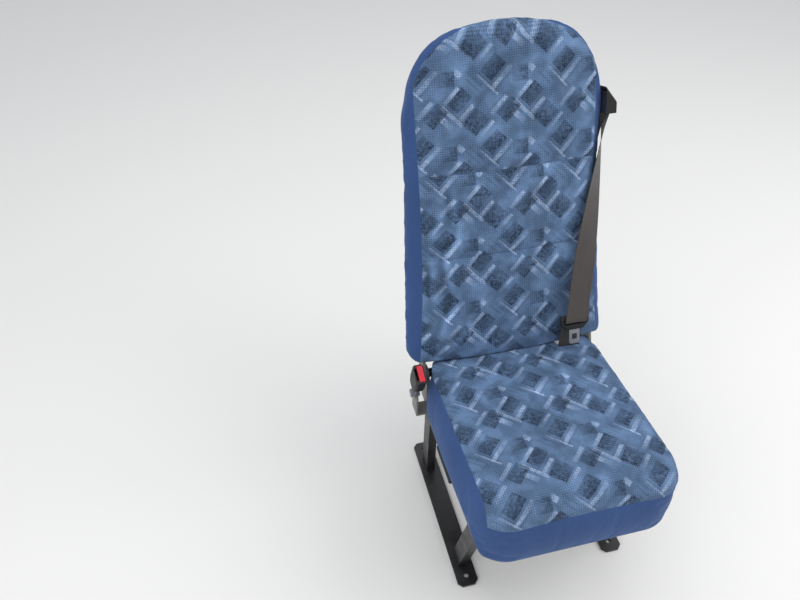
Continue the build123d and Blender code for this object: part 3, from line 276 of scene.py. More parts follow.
def moquette(colours):
    """Cut-pile wool moquette: tilted dark squares and light bars that seem interwoven, over a dotted ground.
    The repeat starts afresh above the upper stitched line, where the cover is joined."""
    tones = {"dark": colours.dark_square, "mid": colours.mid_bar, "light": colours.light_bar}
    tones["line"] = tones["dark"]
    group = woven_block_group()
    rows = [
        ("uv", "UVMap", {"uv_map": "cloth"}, {}),
        ("uv_xy", "SeparateXYZ", {}, {0: "uv:UV"}),
        maths("above", "GREATER_THAN", "uv_xy:Y", STITCH_HEIGHTS[1] * MM),
        scaled("shift", REPEAT_MOVE, "above"),
        vectors("place", "ADD", "uv:UV", "shift"),
        # Bars and squares are broken up by the pile, which lies unevenly
        ("ragged", "TexNoise", {}, {"Vector": "place", "Scale": 160.0, "Detail": 3.0, "Roughness": 0.7}),
        ranged("wear", "ragged", 0.25, 0.95, 0.34, 0.62),
        # Ground: uneven pile with a dot matrix that comes and goes, coarser than the real one
        noise("patch", "place", 34.0, 1.0),
        ranged("patch_cover", "patch", 0.3, 1.0, 0.4, 0.62, "SMOOTHSTEP"),
        scaled("dot_grid", "uv:UV", 1 / DOT_PITCH),
        vectors("dot_inside", "FRACTION", "dot_grid"),
        vectors("dot_far", "DISTANCE", "dot_inside", (0.5, 0.5, 0.0)),
        ranged("dot", "dot_far:Value", 0.0, 1.0, 0.46, 0.18),
        maths("dots", "MULTIPLY", "dot", "patch_cover"),
        noise("wash", "place", 22.0, 2.0),
        ranged("wash_cover", "wash", 0.0, 1.0, 0.4, 0.66, "SMOOTHSTEP"),
        ("ground", "Mix", {"data_type": "RGBA"}, {0: "wash_cover", 6: colours.ground, 7: colours.mid_bar}),
    ]
    for index, (tone, middle, half, turn, tail, head) in enumerate(WOVEN_BLOCKS):
        middle = np.array([*middle, 0.0]) * MM
        reach = np.array([*REPEAT, 2000.0]) * MM / 2
        rows.append((f"cover_{index}", "Group", {"node_tree": group}, {
            "Place": "place", "Middle": middle, "High": middle + reach, "Low": middle - reach,
            "Turn": (0, 0, math.radians(turn)), "Half": (half[0] * MM, half[1] * MM, 1.0),
            "Tail": tail, "Head": head, "Wear": "wear",
        }))
        rows.append((f"tone_{index + 1}", "Mix", {"data_type": "RGBA"}, {
            0: f"cover_{index}", 6: f"tone_{index}:2" if index else "ground:2", 7: tones[tone],
        }))
    rows += [
        # Broad uneven shading of the pile, the pile itself, the dots, and the pulls' painted highlight and shade
        noise("cloud", "uv:UV", 14.0, 3.0),
        ranged("cloud_range", "cloud", 0.82, 1.2),
        noise("pile", "uv:UV", 700.0, 2.0),
        ranged("pile_range", "pile", 0.64, 1.38),
        ranged("dot_range", "dots", 1.08, 0.56, 0.0, 1.0),
        # Painted highlight on the ridges of the cloth's pulls and painted shade in their furrows, from their height
        ("fold", "Attribute", {"attribute_name": "fold"}, {}),
        ranged("fold_range", "fold:Fac", 0.74, 1.52, -1.5, 3.0),
        maths("light_a", "MULTIPLY", "cloud_range", "pile_range"),
        maths("light_b", "MULTIPLY", "dot_range", "fold_range"),
        maths("light_level", "MULTIPLY", "light_a", "light_b"),
        scaled("cloth", f"tone_{len(WOVEN_BLOCKS)}:2", "light_level"),
        *grain_rows("pile", 0.4, 0.6),
    ]
    return make_material("Wool moquette", rows, {
        "Base Color": "cloth", "Roughness": 0.92, "Sheen Weight": 0.12, "Sheen Roughness": 0.45,
        "Sheen Tint": colours.light_bar, "Specular IOR Level": 0.2, "Normal": "bump",
    })


def side_cloth(colours):
    """Plain velour: even blue with a soft sheen and a fine knit."""
    rows = [
        ("place", "TexCoord", {}, {}),
        noise("cloud", "place:Object", 9.0, 3.0),
        noise("knit", "place:Object", 1100.0, 2.0),
        ranged("cloud_range", "cloud", 0.92, 1.08),
        ranged("knit_range", "knit", 0.9, 1.1),
        maths("light_level", "MULTIPLY", "cloud_range", "knit_range"),
        scaled("cloth", colours.side_cloth[:3], "light_level"),
        *grain_rows("knit", 0.3, 0.5),
    ]
    return make_material("Plain velour", rows, {
        "Base Color": "cloth", "Roughness": 0.9, "Sheen Weight": 0.3, "Sheen Roughness": 0.4,
        "Sheen Tint": colours.light_bar, "Specular IOR Level": 0.2, "Normal": "bump",
    })


def belt_webbing(colours):
    """Woven polyester webbing: taupe warp ribs with a herringbone weft, darker along the selvedges."""
    chevron, weft_pitch, warp_pitch = 6.0 * MM, 2.2 * MM, 1.6 * MM
    rows = [
        ("uv", "UVMap", {"uv_map": "cloth"}, {}),
        ("uv_xy", "SeparateXYZ", {}, {0: "uv:UV"}),
        maths("side", "ABSOLUTE", "uv_xy:X"),
        maths("chevron", "PINGPONG", "uv_xy:X", chevron),
        maths("slant", "ADD", "uv_xy:Y", "chevron"),
        maths("weft_phase", "MULTIPLY", "slant", 2 * math.pi / weft_pitch),
        maths("weft", "SINE", "weft_phase"),
        maths("warp_phase", "MULTIPLY", "uv_xy:X", 2 * math.pi / warp_pitch),
        maths("warp", "SINE", "warp_phase"),
        maths("weave", "ADD", "weft", "warp"),
        noise("wear", "uv:UV", 30.0, 4.0),
        ranged("weave_light", "weave", 0.84, 1.12, -2.0, 2.0),
        ranged("wear_light", "wear", 0.92, 1.08),
        ranged("edge_light", "side", 1.0, 0.86, 21.5 * MM, 22.5 * MM),
        maths("light_a", "MULTIPLY", "weave_light", "wear_light"),
        maths("light_b", "MULTIPLY", "light_a", "edge_light"),
        scaled("cloth", colours.webbing[:3], "light_b"),
        *grain_rows("weave", 0.35, 0.2),
    ]
    return make_material("Polyester webbing", rows, {
        "Base Color": "cloth", "Roughness": 0.62, "Sheen Weight": 0.15, "Specular IOR Level": 0.35,
        "Normal": "bump",
    })


def enamel(name, colour, roughness):
    """Stoved enamel on steel: slight orange peel, dust and rubbed patches, edges softened by the coat."""
    rows = [
        ("place", "TexCoord", {}, {}),
        noise("peel", "place:Object", 420.0, 2.0),
        ("rub", "TexNoise", {}, {"Vector": "place:Object", "Scale": 28.0, "Detail": 6.0, "Roughness": 0.65}),
        ranged("rub_level", "rub", roughness - 0.08, roughness + 0.16, 0.35, 0.75),
        ranged("dust", "rub", 0.9, 1.35, 0.3, 0.8),
        scaled("paint", colour[:3], "dust"),
        *grain_rows("peel", 0.12, 0.4, 0.9),
    ]
    return make_material(name, rows, {"Base Color": "paint", "Roughness": "rub_level", "Normal": "bump"})


def zinc_steel(colours):
    """Bright zinc on steel: pale, slightly blue metal with a fine brushed grain."""
    rows = [
        ("place", "TexCoord", {}, {}),
        ("stretch", "Mapping", {}, {"Vector": "place:Object", "Scale": (90.0, 90.0, 1400.0)}),
        noise("grain", "stretch", 1.0, 3.0),
        noise("blotch", "place:Object", 120.0, 4.0),
        ranged("rough", "blotch", 0.3, 0.48),
        ranged("tone", "grain", 0.9, 1.05),
        scaled("metal", colours.zinc[:3], "tone"),
        *grain_rows("grain", 0.08, 0.2, 0.5),
    ]
    return make_material("Zinc-plated steel", rows, {
        "Base Color": "metal", "Metallic": 1.0, "Roughness": "rough", "Normal": "bump",
    })


def moulded_plastic(name, colour, roughness):
    """Injection-moulded plastic: fine spark-eroded grain, patches of uneven gloss, rounded edges."""
    rows = [
        ("place", "TexCoord", {}, {}),
        ("grain", "TexVoronoi", {}, {"Vector": "place:Object", "Scale": 1300.0}),
        noise("cloud", "place:Object", 45.0, 4.0),
        ranged("rough", "cloud", roughness - 0.06, roughness + 0.08),
        ranged("tone", "cloud", 0.9, 1.12),
        scaled("plastic", colour[:3], "tone"),
        *grain_rows("grain:Distance", 0.15, 0.3, 1.2),
    ]
    return make_material(name, rows, {
        "Base Color": "plastic", "Roughness": "rough", "Specular IOR Level": 0.35, "Normal": "bump",
    })


def from_back(points):
    """Places of the seat from places of the backrest, in mm: turned back by the lean, then moved to the junction."""
    x, t, s = np.moveaxis(np.asarray(points, float), -1, 0)
    y = t * math.cos(LEAN) + s * math.sin(LEAN)
    z = -t * math.sin(LEAN) + s * math.cos(LEAN)
    return np.stack([x, y, z], -1) + JUNCTION


def mesh_piece(name, points, cloth, ids=None):
    """Object from rings of points in mm, its map of cloth places in mm and the material number of each face."""
    index = np.arange(points.size // 3).reshape(points.shape[:2])
    index = np.concatenate([index, index[:, :1]], 1)
    faces = np.stack([index[:-1, :-1], index[1:, :-1], index[1:, 1:], index[:-1, 1:]], -1).reshape(-1, 4)
    mesh = bpy.data.meshes.new(name)
    mesh.from_pydata((points.reshape(-1, 3) * MM).tolist(), [], faces.tolist())
    layer = mesh.uv_layers.new(name="cloth")
    corner = np.zeros(len(mesh.loops), np.int32)
    mesh.loops.foreach_get("vertex_index", corner)
    layer.data.foreach_set("uv", (cloth.reshape(-1, 2)[corner] * MM).astype(np.float32).ravel())
    if ids is not None:
        mesh.polygons.foreach_set("material_index", ids.astype(np.int32).ravel())
    mesh.polygons.foreach_set("use_smooth", np.ones(len(mesh.polygons), bool))
    piece = bpy.data.objects.new(name, mesh)
    bpy.context.scene.collection.objects.link(piece)
    return piece


def close_mesh(piece):
    """Merges coincident points and turns all faces outwards."""
    work = bmesh.new()
    work.from_mesh(piece.data)
    bmesh.ops.remove_doubles(work, verts=work.verts, dist=0.2 * MM)
    bmesh.ops.dissolve_degenerate(work, edges=work.edges, dist=0.001 * MM)
    bmesh.ops.recalc_face_normals(work, faces=work.faces)
    work.to_mesh(piece.data)
    work.free()


def keep_values(piece, name, values):
    """Stores a number for each point in the mesh, where it outlasts the merging of points."""
    piece.data.attributes.new(name, "FLOAT", "POINT").data.foreach_set("value", values.ravel().astype(np.float32))


def kept_values(piece, name):
    """Takes the points' numbers out of the mesh again."""
    layer = piece.data.attributes[name]
    values = read_numbers(layer.data, "value", 1)[:, 0]
    piece.data.attributes.remove(layer)
    return values


def inflate(piece, held):
    """Swells the piece by cloth simulation: held is 1 where a point is sewn down and 0.5 where it is half free."""
    group = piece.vertex_groups.new(name="held")
    for weight in (1.0, 0.5):
        chosen = np.nonzero(np.abs(held - weight) < 0.2)[0]
        group.add(chosen.tolist(), weight, "REPLACE")
    rest = read_numbers(piece.data.vertices, "co")
    cloth = piece.modifiers.new("Cloth", "CLOTH")
    settings = cloth.settings
    settings.quality = 6
    settings.use_pressure = True
    settings.uniform_pressure_force = SWELL_PRESSURE
    settings.effector_weights.gravity = 0.0
    settings.vertex_group_mass = "held"
    settings.shrink_min = -SWELL_GROWTH
    cloth.point_cache.frame_start = 1
    cloth.point_cache.frame_end = SWELL_STEPS
    scene = bpy.context.scene
    for step in range(1, SWELL_STEPS + 1):
        scene.frame_set(step)
    shape = piece.evaluated_get(bpy.context.evaluated_depsgraph_get())
    moved = read_numbers(shape.data.vertices, "co") - rest
    piece.modifiers.remove(cloth)
    scene.frame_set(1)
    piece.vertex_groups.clear()
    length = np.linalg.norm(moved, axis=1, keepdims=True)
    cap = SWELL_CAP * MM
    place_vertices(piece.data, rest + moved * (np.tanh(length / cap) * cap / np.maximum(length, 1e-9)))


def read_numbers(items, name, size=3):
    """Numbers of every item of a mesh, a row each, such as its vertices' places in metres."""
    values = np.zeros(len(items) * size, np.float32)
    items.foreach_get(name, values)
    return values.reshape(-1, size).astype(float)


def place_vertices(mesh, places):
    """Moves the vertices of a mesh to their places in metres."""
    mesh.vertices.foreach_set("co", places.astype(np.float32).ravel())
    mesh.update()


def make_pad(name, points, cloth, plain, held, fold, dent, quick):
    """Pad of two cloths, plain where its second one is: swelled between its sewn points, then each point moves
    along its normal by the height of its fold less the depth of its seam, in mm."""
    piece = mesh_piece(name, points, cloth, plain)
    # The fold heights stay on the mesh as "fold" for the moquette's painted highlight and painted shade
    for label, values in (("fold", fold), ("held", held), ("push", fold - dent)):
        keep_values(piece, label, values)
    close_mesh(piece)
    held, push = kept_values(piece, "held"), kept_values(piece, "push")
    if not quick:
        inflate(piece, held)
    places = read_numbers(piece.data.vertices, "co")
    place_vertices(piece.data, places + read_numbers(piece.data.vertex_normals, "vector") * push[:, None] * MM)
    return piece


def finish_pad(piece, finishes, body, node):
    """Common end of a pad: subdivision, cloths, body and the CAD node it stands for."""
    subdivision = piece.modifiers.new("Subdivision", "SUBSURF")
    subdivision.levels = 1
    subdivision.render_levels = 1
    for name in ("Wool moquette", "Plain velour"):
        piece.data.materials.append(finishes[name])
    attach(piece, body)
    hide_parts(node)


def crown_height(x):
    """Height of the backrest's outline over a distance from its middle: three arcs, each tangent to the last."""
    place = np.array([0.0, BACK_LENGTH])
    heading = np.array([1.0, 0.0])
    outline = [place[None]]
    for end in np.array(CROWN_ARCS):
        reach = end - place
        normal = np.array([heading[1], -heading[0]])
        radius = reach @ reach / (2 * reach @ normal)
        centre = place + normal * radius
        first = np.arctan2(*(place - centre)[::-1])
        last = np.arctan2(*(end - centre)[::-1])
        turn = np.linspace(first, last, 30)[1:, None]
        outline.append(centre + radius * np.concatenate([np.cos(turn), np.sin(turn)], 1))
        heading = np.array([math.sin(last), -math.cos(last)])
        place = end
    outline = np.concatenate(outline)
    return np.interp(np.abs(x), outline[:, 0], outline[:, 1])


def round_corner(x, half, radius):
    """How far an outline of this half width draws in at a distance from its middle, by a quarter circle."""
    past = np.clip(np.abs(x) - (half - radius), 0, radius)
    return radius - np.sqrt(radius ** 2 - past ** 2)


def roll(radius, angle):
    """Way in from a face and way off the edge that it rolls to: r (1 - cos a), r (1 - sin a)."""
    return radius * (1 - np.cos(angle)), radius * (1 - np.sin(angle))


def ease(share):
    """Share from 0 to 1 that starts and ends level: 3 u^2 - 2 u^3."""
    share = np.clip(share, 0, 1)
    return share ** 2 * (3 - 2 * share)


def swell(x, seam, bulge, half):
    """Share of the thickness left past the seam: the side is an arc through both seams that stands out by the bulge."""
    radius = (half ** 2 + bulge ** 2) / (2 * bulge)
    past = np.clip(np.abs(x) - seam, 0, bulge)
    return np.sqrt(np.maximum(radius ** 2 - (radius - bulge + past) ** 2, 0)) / half


def stations(seam, bulge, half, extra=()):
    """Places across a pad: even, finer from 96 mm on and close beside the seam, then by equal angles over the side."""
    radius = (half ** 2 + bulge ** 2) / (2 * bulge)
    turn = np.linspace(math.asin(half / radius), 0, 9)[1:]
    side = seam + radius * np.cos(turn) - (radius - bulge)
    inner = np.concatenate([np.linspace(0, 96, 19), np.linspace(96, seam - 14, 26)])
    close = seam - np.array([9.0, 5.0, 2.2, 0.0])
    right = np.unique(np.concatenate([inner, close, side, np.array(extra, float)]))
    return np.concatenate([-right[:0:-1], right])


def spread_panel(x, s):
    """Places across the face, as far as its seams, which spread to the foot in a parabola."""
    down = np.clip((BACK_FLARE_TOP - s) / BACK_FLARE_TOP, 0, 1)
    return np.clip(x / BACK_SEAM, -1, 1) * (BACK_SEAM + BACK_FLARE * down ** 2)


def spread_sides(x, s):
    """Places across the whole pad: past the seams the side spreads to the foot in a straight line."""
    down = np.clip((BACK_FLARE_TOP - s) / BACK_FLARE_TOP, 0, 1)
    past = np.maximum(np.abs(x) - BACK_SEAM, 0) / BACK_BULGE
    return spread_panel(x, s) + np.sign(x) * past * (BACK_BULGE + BACK_FLARE * (down - down ** 2))


def backrest_surface():
    """Backrest as slices across: each is a loop up the face, over the crown, down the rear and along the foot.
    The face lies at 18 (x / w)^2 and the rear at depth(s) - 6 (x / w)^2, w being the foot's half width. depth falls in
    a line above a soft knee. Past the seams both close on their mean (swell). Rolls join them to the gusset over the
    crown and to the foot. The cloth's map runs on over the crown."""
    x = stations(BACK_SEAM, BACK_BULGE, BACK_SIDE_HALF, (CROWN_TIP,))[:, None]
    share = swell(x, BACK_SEAM, BACK_BULGE, BACK_SIDE_HALF)
    top = crown_height(x)
    low = round_corner(x, BACK_SEAM + BACK_BULGE, BACK_CORNER)

    def rear_depth(s):
        climb = np.clip(s - BACK_TAPER_START + BACK_KNEE, 0, None)
        soft = np.where(climb < 2 * BACK_KNEE, climb ** 2 / (4 * BACK_KNEE), climb - BACK_KNEE)
        return BACK_DEPTH - soft * (BACK_DEPTH - BACK_TOP_DEPTH) / (BACK_LENGTH - BACK_TAPER_START)

    def depths(s):
        crown = (spread_panel(x, s) / FOOT_SEAM) ** 2
        near = FACE_CROWN * crown
        far = rear_depth(s) - REAR_CROWN * crown
        return (near + far) / 2 - (far - near) / 2 * share, (near + far) / 2 + (far - near) / 2 * share

    # Rows of the face, closer beside the stitched lines, fitted to the crown and to the foot
    lines = np.array(STITCH_HEIGHTS)
    rows = [np.linspace(ROW_LOW, ROW_HIGH, 122)] + [lines + beside for beside in (-7.0, -2.5, 0.0, 2.5, 7.0)]
    kept = []
    for row in np.unique(np.concatenate(rows)):
        if not kept or row - kept[-1] > ROW_STEP or row in lines:
            kept.append(row)
    even = np.array(kept)[None]
    near_top, far_top = depths(top)
    edge = np.minimum(np.interp(np.abs(x), *ROLL_RADIUS), 0.49 * (far_top - near_top))
    foot = np.minimum(FOOT_ROLL, 0.8 * (far_top - near_top))
    upper = CROWN_ROWS + (even - CROWN_ROWS) * (top - edge - CROWN_ROWS) / (ROW_HIGH - CROWN_ROWS)
    lower = low + foot + (even - ROW_LOW) * (CROWN_ROWS - low - foot) / (CROWN_ROWS - ROW_LOW)
    lower += (even - lower) * np.clip((even - ROW_LOW) / FOOT_ROWS, 0, 1)
    rise = np.where(even > CROWN_ROWS, upper, lower)
    near, far = depths(rise)
    near_low, far_low = depths(low)
    # The rear takes every third row. The gusset's seam climbs its roll towards the gusset's tip
    few = np.unique(np.append(np.arange(0, rise.shape[1], 3), rise.shape[1] - 1))[::-1]
    along_gusset = np.sqrt(np.clip((np.abs(x) - CROWN_TIP) / (BACK_SEAM - CROWN_TIP), 0, 1))
    crown_in, crown_down = roll(edge, np.radians(ROLL_AT_TIP + (ROLL_AT_SIDE - ROLL_AT_TIP) * along_gusset))
    foot_in, foot_up = roll(foot, np.linspace(0, math.pi / 2, 6)[None, 1:-1])
    across = np.linspace(0, 1, 9)[None]
    rise_over = np.interp(np.abs(x), *GUSSET_RISE) * 4 * across * (1 - across)
    parts = [
        (near, rise),
        (near_top + crown_in, top - crown_down),
        (near_top + edge + (far_top - near_top - 2 * edge) * across, top + rise_over),
        (far_top - crown_in[:, ::-1], top - crown_down[:, ::-1]),
        (far[:, few], rise[:, few]),
        (far_low - foot_in, low + foot_up),
        (far_low - foot - (far_low - near_low - 2 * foot) * across, low + 0 * across),
        (near_low + foot_in[:, ::-1], low + foot_up[:, ::-1]),
    ]
    t, s = (np.concatenate(halves, 1) for halves in zip(*parts))
    ends = np.cumsum([0] + [part[0].shape[1] for part in parts])
    place = np.arange(ends[-1])[None]
    over = (place >= ends[1]) & (place < ends[4])
    behind = (place >= ends[4]) & (place < ends[5])
    rear_start = BACK_LENGTH + OVER_CROWN + (BACK_LENGTH - s)
    front_end, rear_end = s[:, ends[1] - 1:ends[1]], rear_start[:, ends[4]:ends[4] + 1]
    crossed = front_end + (rear_end - front_end) * (place - ends[1] + 1) / (ends[4] - ends[1] + 1)
    run = np.where(over, crossed, np.where(behind, rear_start, s))
    spread = spread_sides(x, s)
    return x, np.stack([spread, t, s], -1), np.stack([spread, run], -1), ends


def backrest_padding(finishes, quick):
    """Backrest pad: sewn at its seams, stitched lines and foot. The moquette runs round the foot's front edge."""
    x, points, cloth, ends = backrest_surface()
    s = points[..., 2]
    place = np.arange(s.shape[1])[None]
    face = place < ends[1]
    rear = (place >= ends[4]) & (place < ends[5])
    foot = place >= ends[5]
    gusset = (place >= ends[1] + 3) & (place < ends[4] - 4)
    seam_up = np.isclose(np.abs(x), BACK_SEAM) & (face | rear)
    seam_over = (np.abs(x) >= CROWN_TIP - 0.1) & (np.abs(x) <= BACK_SEAM + 0.1) & (
        (place == ends[1] + 3) | (place == ends[4] - 4))
    middle = s[len(s) // 2]
    on_line = np.isclose(middle[:, None], STITCH_HEIGHTS).any(1)
    stitched = face & on_line & (np.abs(x) <= BACK_SEAM + 0.1)
    seam = seam_up | seam_over
    held = np.where(seam | stitched | foot, 1.0, np.where(rear, 0.5, 0.0))
    between = np.abs(x[1:] + x[:-1]) / 2
    plain = (between > BACK_SEAM) | ((between > CROWN_TIP) & gusset) | (foot & (place < ends[7] - 1))
    fold = creases(BACK_CREASES, x, s) * face * (np.abs(x) < BACK_SEAM)
    dent = np.where(seam, SEAM_DENT, np.where(stitched, STITCH_DENT, 0.0))
    piece = make_pad("backrest_padding", from_back(points), cloth, plain, held, fold, dent, quick)
    finish_pad(piece, finishes, "backrest", "backrest_cushion")


# Pulls in the cloth, on the backrest's face (across, up) and the cushion's top (across, rearward): start, end,
# height of the ridge and its width, in mm
BACK_CREASES = (
    ((-126, 392), (-106, 280), 3, 7),
    ((-104, 312), (-138, 196), 3.8, 7),
    ((-142, 240), (-112, 128), 3.6, 7),
    ((-108, 168), (-150, 36), 3.8, 8),
    ((-146, 116), (-184, 14), 3, 8),
    ((-170, 250), (-152, 120), 2.8, 6.5),
    ((-146, 340), (-166, 246), 2.2, 6.5),
    ((-86, 84), (-136, 10), 2.4, 7.5),
    ((-60, 160), (-96, 56), 1.8, 8),
    ((150, 150), (176, 60), 1.4, 6),
    ((166, 330), (150, 240), 1.2, 6),
    ((-60, 240), (-20, 292), 0.9, 7),
)
SEAT_CREASES = (
    ((-150, 60), (-60, -150), 1.6, 8),
    ((-170, -20), (-120, -200), 1.4, 7),
    ((-30, 70), (20, -120), 1, 9),
    ((90, 70), (60, -60), 1.2, 8),
    ((168, 40), (130, -130), 1.4, 7),
)


def creases(pulls, across, along):
    """Height of the cloth's pulls: each is a ridge exp(-(a / width)^2) beside a furrow half as deep, a being the
    distance from its line, which wavers by 3 mm. It fades at both ends."""
    height = np.zeros(np.broadcast(across, along).shape)
    for start, end, rise, width in pulls:
        way = np.subtract(end, start).astype(float)
        length = np.hypot(*way)
        forward = ((across - start[0]) * way[0] + (along - start[1]) * way[1]) / length
        aside = ((across - start[0]) * way[1] - (along - start[1]) * way[0]) / length
        aside = aside + 3 * np.sin(forward / length * 7)
        fade = np.clip(forward / (0.35 * length), 0, 1) * np.clip((length - forward) / (0.4 * length), 0, 1)
        furrow = 0.5 * np.exp(-((aside - 1.8 * width) / width) ** 2)
        height += rise * fade * (np.exp(-(aside / width) ** 2) - furrow)
    return height


def cushion_surface():
    """Seat cushion as slices across: each is a loop up the front border, over the top, down the rear border and back
    under it along the pan's pocket. The top lies at line(y) - 12 (x / w)^2, w being the seams' half width. The borders
    past the seams are arcs (swell), and in plan the corners are round. The rear border is tucked below the backrest's
    foot by 16 + 17 (x / 170)^2, fading to its lower edge by (1 - u)^3 (1 + 3 u), but is straight at the lap strand."""
    half = (SEAT_DEPTH - SEAT_CROWN) / 2
    notch = WEB_HALF + np.array(NOTCH)
    x = stations(SEAT_SEAM, SEAT_BULGE, half, (POCKET_HALF - 0.6, POCKET_HALF, *(LAP_X - notch), *(LAP_X + notch)))
    # The slices at the pocket's walls are doubled: the outer one stays on the border, the inner one goes up the wall
    x = np.sort(np.concatenate([x, [-POCKET_HALF, POCKET_HALF]]))[:, None]
    outer = np.abs(x) >= POCKET_HALF - 0.01
    outer[np.nonzero(np.isclose(np.abs(x[:, 0]), POCKET_HALF))[0][1:3]] = False
    crown = np.minimum(np.abs(x) / SEAT_SEAM, 1) ** 2
    share = swell(x, SEAT_SEAM, SEAT_BULGE, half)
    front = SEAT_FRONT + round_corner(x, SEAT_HALF, FRONT_CORNER)
    rear = SEAT_REAR - round_corner(x, SEAT_HALF, REAR_CORNER)

    def line(y):
        return SEAT_TOP_REAR + (SEAT_REAR - y) * (SEAT_TOP_FRONT - SEAT_TOP_REAR) / (SEAT_REAR - SEAT_FRONT)

    def top_height(y):
        middle = line(y) - SEAT_CROWN - half
        return np.where(np.abs(x) > SEAT_SEAM, middle + half * share, line(y) - SEAT_CROWN * crown)

    def low_height(y):
        along = np.clip((y - SEAT_LOW_BEND) / (SEAT_REAR - SEAT_LOW_BEND), 0, 1)
        edge = SEAT_LOW_FRONT + along * (SEAT_LOW_REAR - SEAT_LOW_FRONT)
        return np.where(np.abs(x) > SEAT_SEAM, np.maximum(edge, line(y) - SEAT_CROWN - half - half * share), edge)

    bend = np.minimum(FRONT_ROLL, 0.45 * (top_height(front) - low_height(front)))
    back = np.minimum(REAR_ROLL, 0.4 * (top_height(rear) - low_height(rear)))
    turn = np.linspace(0, math.pi / 2, 9)[None, 1:]
    small = turn[:, ::2]
    low_front = low_height(front)
    high_front = top_height(front + bend) - bend
    high_rear = top_height(rear - back) - back
    up = np.linspace(0, 1, 15)[None]
    belly = BORDER_BELLY * np.sin(math.pi * up) * (1 - 0.5 * crown)
    top_y = front + bend + (rear - back - front - bend) * np.linspace(0, 1, 50)[None, 1:-1]
    down = np.linspace(0, 1, 12)[None, 1:]
    tuck = (TUCK + TUCK_SIDE * (x / TUCK_SIDE_X) ** 2) * ease((SEAT_SEAM - np.abs(x)) / TUCK_FADE)
    tuck = tuck * ease((np.abs(x - LAP_X) - notch[0]) / (notch[1] - notch[0]))
    inner_y = np.minimum(np.maximum(POCKET_FRONT, front + 3), rear)
    under_y = rear + (inner_y - rear) * np.linspace(0, 1, 30)[None, 1:]
    under_z = np.where(outer, low_height(under_y), np.maximum(POCKET_TOP, low_height(under_y)))
    lip = np.linspace(0, 1, 4)[None, 1:]
    parts = [
        (front - belly, low_front + (high_front - low_front) * up),
        (front + bend * (1 - np.cos(turn)), high_front + bend * np.sin(turn)),
        (top_y, top_height(top_y)),
        (rear - back * (1 - np.sin(small)) + tuck * np.sin(small), high_rear + back * np.cos(small)),
        (rear + tuck * (1 - down) ** 3 * (1 + 3 * down), high_rear + (low_height(rear) - high_rear) * down),
        (under_y, under_z),
        (inner_y + 0 * lip, under_z[:, -1:] + (low_height(inner_y) - under_z[:, -1:]) * lip),
    ]
    y, z = (np.concatenate(halves, 1) for halves in zip(*parts))
    ends = np.cumsum([0] + [part[0].shape[1] for part in parts])
    points = np.stack([x + 0 * y, y, z], -1)
    run = np.cumsum(np.linalg.norm(np.diff(points, axis=1, prepend=points[:, :1]), axis=-1), 1)
    start = (run - y)[:, ends[2]:ends[2] + 1]
    return x, points, np.stack([x + 0 * y, run - start], -1), ends


def cushion_padding(finishes, quick):
    """Seat cushion pad: sewn at the top panel's seam and from the rear border round to the front border's foot."""
    x, points, cloth, ends = cushion_surface()
    place = np.arange(points.shape[1])[None]
    panel = (place >= ends[1] - 1) & (place < ends[4] - 9)
    seam = (np.isclose(np.abs(x), SEAT_SEAM) & panel) | ((np.abs(x) <= SEAT_SEAM + 0.1) & (place == ends[1] - 1))
    held = np.where(seam | (place <= 1) | (place >= ends[3] - 1), 1.0, 0.0)
    between = np.abs(x[1:] + x[:-1]) / 2
    plain = (between > SEAT_SEAM) | (place < ends[1] - 1) | (place >= ends[4])
    top = (place >= ends[2] - 1) & (place < ends[3] + 2) & (np.abs(x) < SEAT_SEAM)
    fold = creases(SEAT_CREASES, x, points[..., 1]) * top
    dent = np.where(seam, SEAM_DENT, 0.0)
    piece = make_pad("cushion_padding", points, cloth, plain, held, fold, dent, quick)
    finish_pad(piece, finishes, "base", "seat_cushion")


def webbing_strip(name, node, centre, across, material):
    """Webbing along a path: at each point its section lies along the width direction, square to the path."""
    way = np.gradient(centre, axis=0)
    way /= np.linalg.norm(way, axis=1, keepdims=True)
    across = across - way * np.sum(across * way, 1, keepdims=True)
    across /= np.linalg.norm(across, axis=1, keepdims=True)
    normal = np.cross(across, way)
    width = np.concatenate([WEB_ACROSS, WEB_ACROSS[-2:0:-1]])
    thick = np.concatenate([WEB_THICK, -WEB_THICK[-2:0:-1]])
    points = centre[:, None] + across[:, None] * width[None, :, None] + normal[:, None] * thick[None, :, None]
    run = np.concatenate([[0], np.cumsum(np.linalg.norm(np.diff(centre, axis=0), axis=1))])
    cloth = np.stack(np.broadcast_arrays(width[None], run[:, None]), -1)
    piece = mesh_piece(name, points, cloth)
    work = bmesh.new()
    work.from_mesh(piece.data)
    bmesh.ops.holes_fill(work, edges=[e for e in work.edges if e.is_boundary], sides=0)
    bmesh.ops.recalc_face_normals(work, faces=work.faces)
    for face in work.faces:
        face.smooth = len(face.verts) == 4
    work.to_mesh(piece.data)
    work.free()
    piece.data.materials.append(material)
    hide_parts(node)
    return piece


def along_path(corners, spacing):
    """Points along a run of straight pieces at an even spacing."""
    corners = np.asarray(corners, float)
    run = np.concatenate([[0], np.cumsum(np.linalg.norm(np.diff(corners, axis=0), axis=1))])
    at = np.linspace(0, run[-1], max(int(run[-1] / spacing), 2))
    return np.stack([np.interp(at, run, corners[:, k]) for k in range(3)], 1)


def soften(points, times):
    """Rounds a run of points: each but the ends moves to the mean of itself and its neighbours, several times."""
    points = points.copy()
    for _ in range(times):
        points[1:-1] = (points[:-2] + 2 * points[1:-1] + points[2:]) / 4
    return points


# Belt, in mm. Webbing's half section: places across and half thickness, thicker at the selvedges
WEB_ACROSS = np.array([-24.0, -23.6, -22.6, -21.6, -14, -7, 0, 7, 14, 21.6, 22.6, 23.6, 24.0])
WEB_THICK = np.array([0.0, 0.5, 0.66, 0.56, 0.52, 0.52, 0.52, 0.52, 0.52, 0.56, 0.66, 0.5, 0.0])
